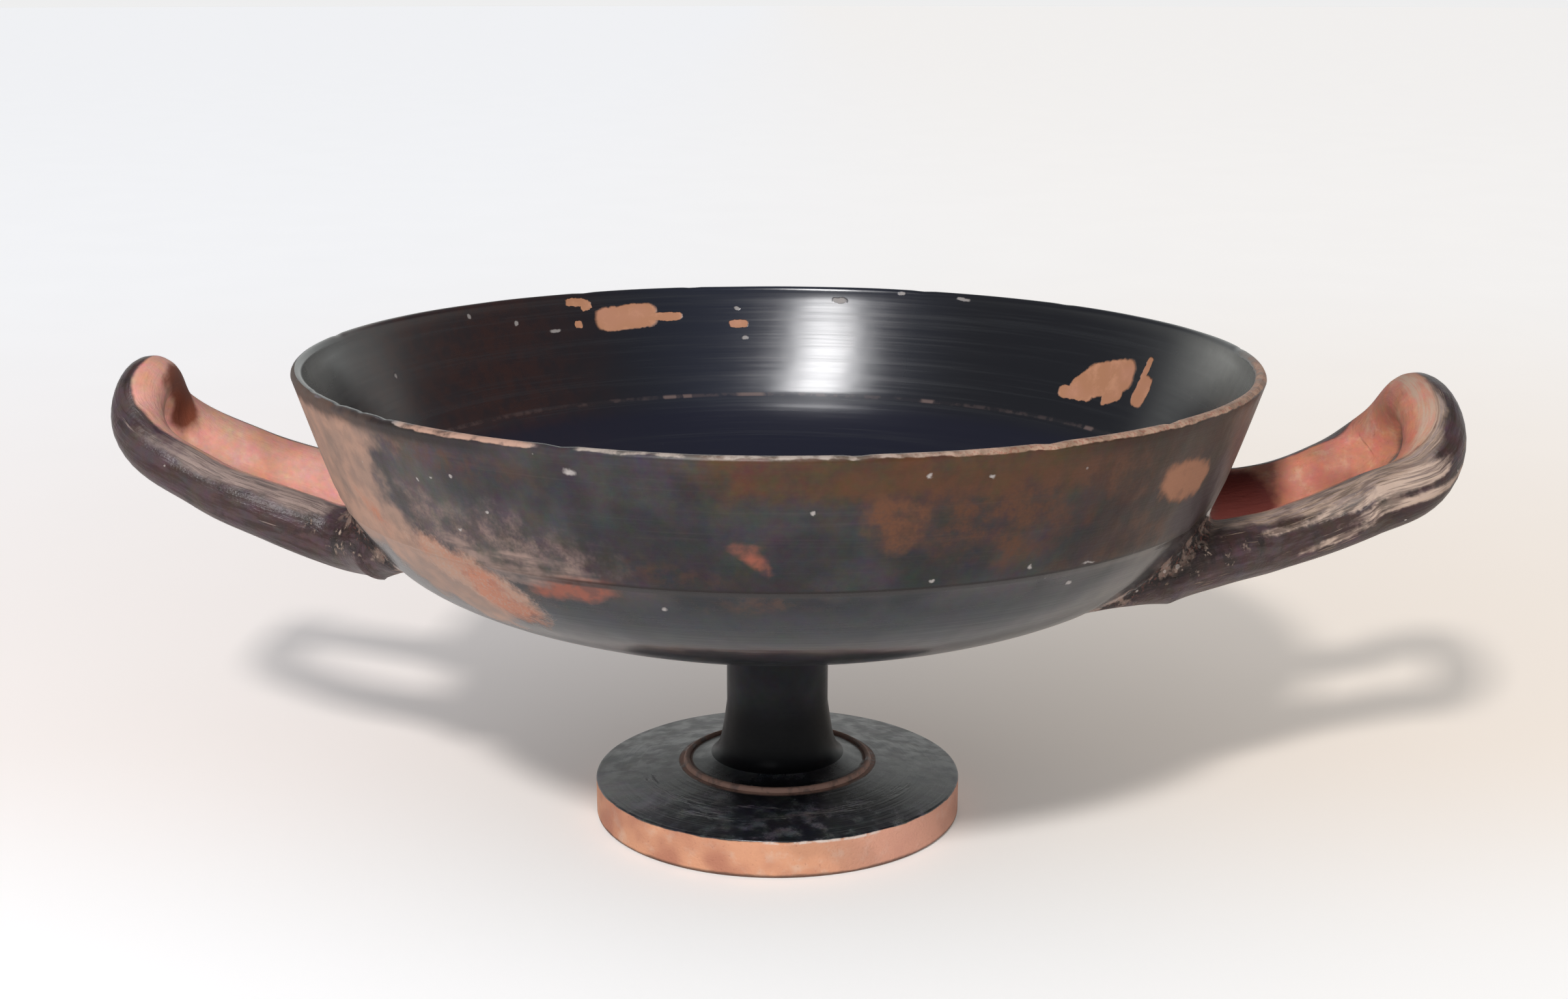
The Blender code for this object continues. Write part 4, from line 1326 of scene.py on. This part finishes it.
class KylixTints(PropertyGroup):
    """Colours of the gloss, the clay and the wear."""

    gloss: tint("Gloss", (0.010, 0.010, 0.013), "Sound black gloss")
    blue_gloss: tint("Bluish gloss", (0.009, 0.009, 0.021), "Gloss over the floor of the bowl")
    red_gloss: tint("Reddish gloss", (0.042, 0.014, 0.009), "Thin gloss that fired red-brown")
    brown_gloss: tint("Brown gloss", (0.112, 0.046, 0.024), "Thin gloss with the clay behind it")
    olive_gloss: tint("Olive gloss", (0.074, 0.034, 0.013), "Dull gloss under the rim")
    slate: tint("Slate", (0.038, 0.034, 0.035), "Dulled gloss on the lip")
    dusty_slate: tint("Dusty slate", (0.068, 0.055, 0.057), "Scuffed and dusty gloss")
    blue_slate: tint("Blue slate", (0.032, 0.034, 0.038), "Rubbed gloss below and on the foot")
    umber_gloss: tint("Umber gloss", (0.090, 0.036, 0.018), "Mottles in the thin gloss")
    end_gloss: tint("End gloss", (0.026, 0.010, 0.005), "Right end of the lip")
    purple_gloss: tint("Purple gloss", (0.022, 0.009, 0.014), "Dark shade by the right root")
    clay: tint("Clay", (0.52, 0.235, 0.15), "Bare fired clay")
    pale_clay: tint("Pale clay", (0.62, 0.40, 0.29), "Dry or rubbed clay")
    red_clay: tint("Red clay", (0.30, 0.095, 0.065), "Deep red clay and stains")
    worn_clay: tint("Worn clay", (0.44, 0.185, 0.115), "Clay worn bare under the lip")
    stain_red: tint("Stain", (0.27, 0.085, 0.055), "Red stains")
    pink_clay: tint("Pink clay", (0.60, 0.30, 0.235), "Clay inside the left handle")
    flake: tint("Flake", (0.46, 0.205, 0.105), "Clay where gloss has flaked off inside")
    foot_clay: tint("Foot clay", (0.62, 0.30, 0.175), "Clay at the edge of the foot")
    ring_clay: tint("Ring clay", (0.44, 0.25, 0.19), "Ring left bare round the stem")
    pink_tan: tint("Pink tan", (0.40, 0.235, 0.170), "Left end of the lip")
    grey_tan: tint("Grey tan", (0.25, 0.17, 0.135), "Greyer bloom over worn gloss")
    tan_wear: tint("Tan wear", (0.40, 0.26, 0.185), "Smooth tan wear")
    pale_wear: tint("Pale wear", (0.36, 0.30, 0.26), "Pale line along the rim")
    orange_wear: tint("Orange wear", (0.40, 0.245, 0.185), "Worn stretch of the rim at the left")
    # Painted highlight: the thin lilac line at the left end of the rim.
    lilac_rim_highlight: tint("Lilac wear", (0.15, 0.13, 0.14), "Thin line at the left end of the rim")
    # Dust on the foot, and painted sheen at its sides.
    foot_dust_and_sheen: tint("Foot dust", (0.110, 0.103, 0.110), "Dust on the foot")
    chip: tint("Chip", (0.40, 0.36, 0.34), "Small chips and scuffs")
    dust: tint("Dust", (0.27, 0.185, 0.155), "Beige dust in scratches")
    dirt: tint("Dirt", (0.018, 0.013, 0.012), "Dark dirt in hollows and seams")
    chalk: tint("Chalk", (0.62, 0.55, 0.50), "Pale chips and specks")
    purple_brown: tint("Purple brown", (0.070, 0.046, 0.048), "Outer side of the left handle")
    dark_brown: tint("Dark brown", (0.046, 0.026, 0.024), "Outer side of the right handle")
    rubbed: tint("Rubbed clay", (0.345, 0.16, 0.095), "Smooth rubbed spot beside the right root")
    worn_grey: tint("Worn grey", (0.33, 0.245, 0.215), "Grey-brown wear on a crest")
    warm_clay: tint("Warm clay", (0.52, 0.200, 0.130), "Clay inside the right handle")
    # Painted shade: the dark clay inside the left handle's tip, which lies in shadow.
    painted_shade_clay: tint("Deep clay", (0.20, 0.058, 0.032), "Deep clay inside the left handle's tip")
    # Painted shade: the dark red inside the right handle, where the lip casts shadow.
    shade_red: tint("Shaded red", (0.17, 0.034, 0.026), "Dark red clay inside the right handle")
    pink_cream: tint("Pink cream", (0.50, 0.37, 0.295), "Palest wear on the right handle")
    # Painted reflection: the pale grey near the rim at both ends inside.
    bloom: tint("Bloom", (0.24, 0.235, 0.215), "Dusty bloom near the rim inside")
    # Painted sheen: the bluish glow round the lamp's highlight on the wall behind.
    painted_sheen: tint("Haze", (0.018, 0.023, 0.044), "Bluish gloss on the wall behind")
    # Painted shade where the stem flares into the foot.
    painted_flare_shade: tint("Flare", (0.003, 0.003, 0.004), "Deepest gloss where the stem meets the foot")
    cream_clay: tint("Cream clay", (0.58, 0.33, 0.22), "Mottles inside the right handle")
    # Rubbed wear of the ledge, and its faint painted highlight.
    ledge_wear_and_glint: tint("Ledge", (0.16, 0.11, 0.10), "Rubbed line of the ledge inside")
    foot_scuff: tint("Scuff", (0.20, 0.19, 0.20), "Scuffs on the foot")
    cream: tint("Cream", (0.45, 0.32, 0.24), "Cream wear on the right handle")


class KylixStudio(PropertyGroup):
    """The floor, the lamps and the camera."""

    paper: tint("Paper", (0.80, 0.80, 0.80), "Colour of the floor")
    lamp_width: length("Lamp width", 0.33, "Width of the sheen lamp")
    lamp_height: length("Lamp height", 0.90, "Height of the sheen lamp")
    radiance: FloatProperty(name="Sheen", description="Brightness of the sheen lamp's face",
                            default=31.0, min=0.0)
    key_radiance: FloatProperty(name="Key", description="Brightness of the key lamp's face",
                                default=275.0, min=0.0)
    lens: FloatProperty(name="Lens", description="Focal length of the camera in millimetres",
                        default=CAMERA_LENS, min=1.0)


class KYLIX_OT_cup(Operator):
    """Throw the cup, roll and join its handles, and finish its surface"""

    bl_idname = "kylix.cup"
    bl_label = "Cup"

    def execute(self, context):
        making, tints = context.scene.kylix_making, context.scene.kylix_tints
        groups = {"wheel": wheel_group(), "unevenness": unevenness_group(), "patch": patch_group(),
                  "specks": specks_group(), "marks": wheel_marks_group(), "clay": clay_group(),
                  "rim": rim_group(tints), "root": root_group(tints), "weather": weather_group(tints)}
        cup = spun(CUP, whole_profile(), making.steps)
        finishes = (inside_finish, lip_finish, bowl_finish, foot_finish, stem_finish)
        finish_faces(cup, [finish(groups, tints) for finish in finishes])
        set_points(cup.data, leaned(mesh_points(cup.data), making.lean))
        clearance = spun("clearance", clearance_profile(), CLEARANCE_STEPS)
        section = roll_section()
        middles = {}
        for name, loop, side, look in (("Left handle", LEFT_LOOP, -1, LEFT_LOOK),
                                       ("Right handle", RIGHT_LOOP, 1, RIGHT_LOOK)):
            finish = handle_finish(name, groups, tints, look)
            roll, middles[side] = rolled(name, loop, side, section, finish)
            combine(roll, "DIFFERENCE", clearance)
            combine(cup, "UNION", roll)
            bpy.data.objects.remove(roll)
        bpy.data.objects.remove(clearance)
        bpy.data.objects.remove(section)
        write_places(cup, middles)
        paint_wear(cup)
        soften_roots(cup)
        nick_rim(cup, RIM_NICKS)
        make_uneven(cup, making.waves)
        set_points(cup.data, mesh_points(cup.data) + (AXIS_X, 0.0, 0.0))
        select_only(cup)
        bpy.ops.object.shade_smooth_by_angle(angle=SMOOTH_ANGLE)
        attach(cup, "root")
        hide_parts(NODE)
        return {"FINISHED"}


class KYLIX_OT_studio(Operator):
    """Lay the pale floor and set the lamps, the surroundings and the camera"""

    bl_idname = "kylix.studio"
    bl_label = "Studio"

    def execute(self, context):
        studio = context.scene.kylix_studio
        select_only()
        bpy.ops.mesh.primitive_circle_add(vertices=FLOOR_SIDES, radius=FLOOR_RADIUS,
                                          fill_type="NGON", location=(0, 0, 0))
        floor = context.object
        floor.name = "floor"
        floor.data.materials.append(floor_finish(studio))
        context.scene.world = surroundings()
        sheen = area_lamp("sheen lamp", SHEEN_PLACE, studio.lamp_width, studio.lamp_height,
                          studio.radiance)
        sheen.visible_diffuse = False
        sheen.data.color = SHEEN_TINT
        key = area_lamp("key lamp", KEY_PLACE, KEY_SIZE, KEY_SIZE, studio.key_radiance)
        key.visible_glossy = False
        bpy.ops.object.camera_add(location=CAMERA_PLACE, rotation=(math.pi / 2 - CAMERA_DROP, 0, 0))
        camera = context.object
        camera.data.lens = studio.lens
        camera.data.sensor_width = SENSOR_WIDTH
        camera.data.clip_start = CLIP_START
        context.scene.camera = camera
        context.scene.view_settings.view_transform = "Standard"
        return {"FINISHED"}


def area_lamp(name, place, width, height, radiance):
    """A soft rectangular lamp that faces the cup."""
    bpy.ops.object.light_add(type="AREA", location=place)
    lamp = bpy.context.object
    lamp.name = name
    lamp.data.shape = "RECTANGLE"
    lamp.data.size, lamp.data.size_y = width, height
    lamp.data.energy = math.pi * width * height * radiance
    lamp.rotation_euler = (Vector(LAMP_AIM) - lamp.location).to_track_quat("-Z", "Y").to_euler()
    lamp.visible_camera = False
    return lamp


def floor_finish(studio):
    """Pale paper with a painted glow: bright far from the lamps, which keeps the paper evenly bright
    there, and dim and warmer near the cup, where it is painted fill light in the shadows.
    """
    material = bpy.data.materials.new("Paper")
    material.use_nodes = True
    wire = Wiring(material.node_tree)
    place = wire.add("ShaderNodeTexCoord").outputs["Object"]
    x, y, _ = wire.parts(place)
    away = wire.vector("LENGTH", place)
    fibre, cloud = (wire.noise(wire.scaled(place, PER_METRE), size, detail)
                    for size, detail in ((1.2, 3.0), (60.0, 2.0)))
    shade = wire.spread(wire.level(0.5, fibre, cloud), 0.96, 1.04)
    # The glow, dim near the cup and warmer there to the right, is painted fill light in the cup's
    # shadows.
    near = wire.maths("POWER", math.e, wire.maths("DIVIDE", away, -FLOOR_GLOW_REACH))
    right = wire.soft(x, -0.12, 0.12)
    tinted = wire.coats(FLOOR_LEFT, (FLOOR_RIGHT, wire.soft(x, -0.3, 0.3)),
                        (wire.blend(right, FLOOR_NEAR_LEFT, FLOOR_NEAR_RIGHT), near))
    # Behind the cup, where its shadows fall, the paper's colour is made warmer: painted warm light in
    # the shadows.
    painted_shadow_warmth = wire.both(wire.soft(y, -0.08, 0.05), wire.soft(away, 0.9, 0.2))
    warm = wire.blend(right, FLOOR_SHADOW_WARM_LEFT, FLOOR_SHADOW_WARM_RIGHT)
    paper = wire.blend(painted_shadow_warmth, studio.paper, wire.vector("MULTIPLY", warm, tuple(studio.paper)))
    strength = wire.both(wire.level(near, *reversed(FLOOR_GLOW)), shade,
                         wire.soft(y, 0.0, -0.4, 1.0, FLOOR_FRONT))
    shader = material.node_tree.nodes["Principled BSDF"].inputs
    material.node_tree.links.new(paper, shader["Base Color"])
    material.node_tree.links.new(wire.scaled(tinted, strength), shader["Emission Color"])
    for name, value in (("Specular IOR Level", 0.0), ("Roughness", 0.9), ("Emission Strength", 1.0)):
        shader[name].default_value = value
    return material


def surroundings():
    """A pale room: bright near the horizon and up the backdrop, dimmer overhead."""
    world = bpy.data.worlds.new("Studio")
    world.use_nodes = True
    wire = Wiring(world.node_tree)
    background = world.node_tree.nodes["Background"]
    _, back, up = wire.parts(wire.add("ShaderNodeTexCoord").outputs["Generated"])
    up = wire.maths("MULTIPLY_ADD", wire.soft(back, 0.45, 0.90), -BACKDROP_RISE, up)
    light = wire.blend(wire.soft(up, 0.04, 0.40), ROOM_LOW, ROOM_HIGH)
    seen = wire.add("ShaderNodeLightPath").outputs["Is Camera Ray"]
    world.node_tree.links.new(wire.blend(seen, light, ROOM_SEEN), background.inputs["Color"])
    return world


class KYLIX_PT_panel(Panel):
    """The cup's settings and the buttons that make it"""

    bl_idname = "KYLIX_PT_panel"
    bl_label = "Greek kylix"
    bl_space_type = "VIEW_3D"
    bl_region_type = "UI"
    bl_category = "Kylix"

    def draw(self, context):
        layout = self.layout
        for operator, group in ((KYLIX_OT_cup, "kylix_making"), (None, "kylix_tints"),
                                (KYLIX_OT_studio, "kylix_studio")):
            settings = getattr(context.scene, group)
            column = layout.column(align=True)
            for name in settings.__annotations__:
                column.prop(settings, name)
            if operator:
                layout.operator(operator.bl_idname)


CLASSES = (KylixMaking, KylixTints, KylixStudio, KYLIX_OT_cup, KYLIX_OT_studio, KYLIX_PT_panel)


def register():
    for cls in CLASSES:
        bpy.utils.register_class(cls)
    bpy.types.Scene.kylix_making = PointerProperty(type=KylixMaking)
    bpy.types.Scene.kylix_tints = PointerProperty(type=KylixTints)
    bpy.types.Scene.kylix_studio = PointerProperty(type=KylixStudio)


def unregister():
    del bpy.types.Scene.kylix_studio, bpy.types.Scene.kylix_tints, bpy.types.Scene.kylix_making
    for cls in reversed(CLASSES):
        bpy.utils.unregister_class(cls)


def main():
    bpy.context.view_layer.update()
    register()
    bpy.ops.kylix.cup()
    bpy.ops.kylix.studio()


if __name__ == "__main__":
    main()
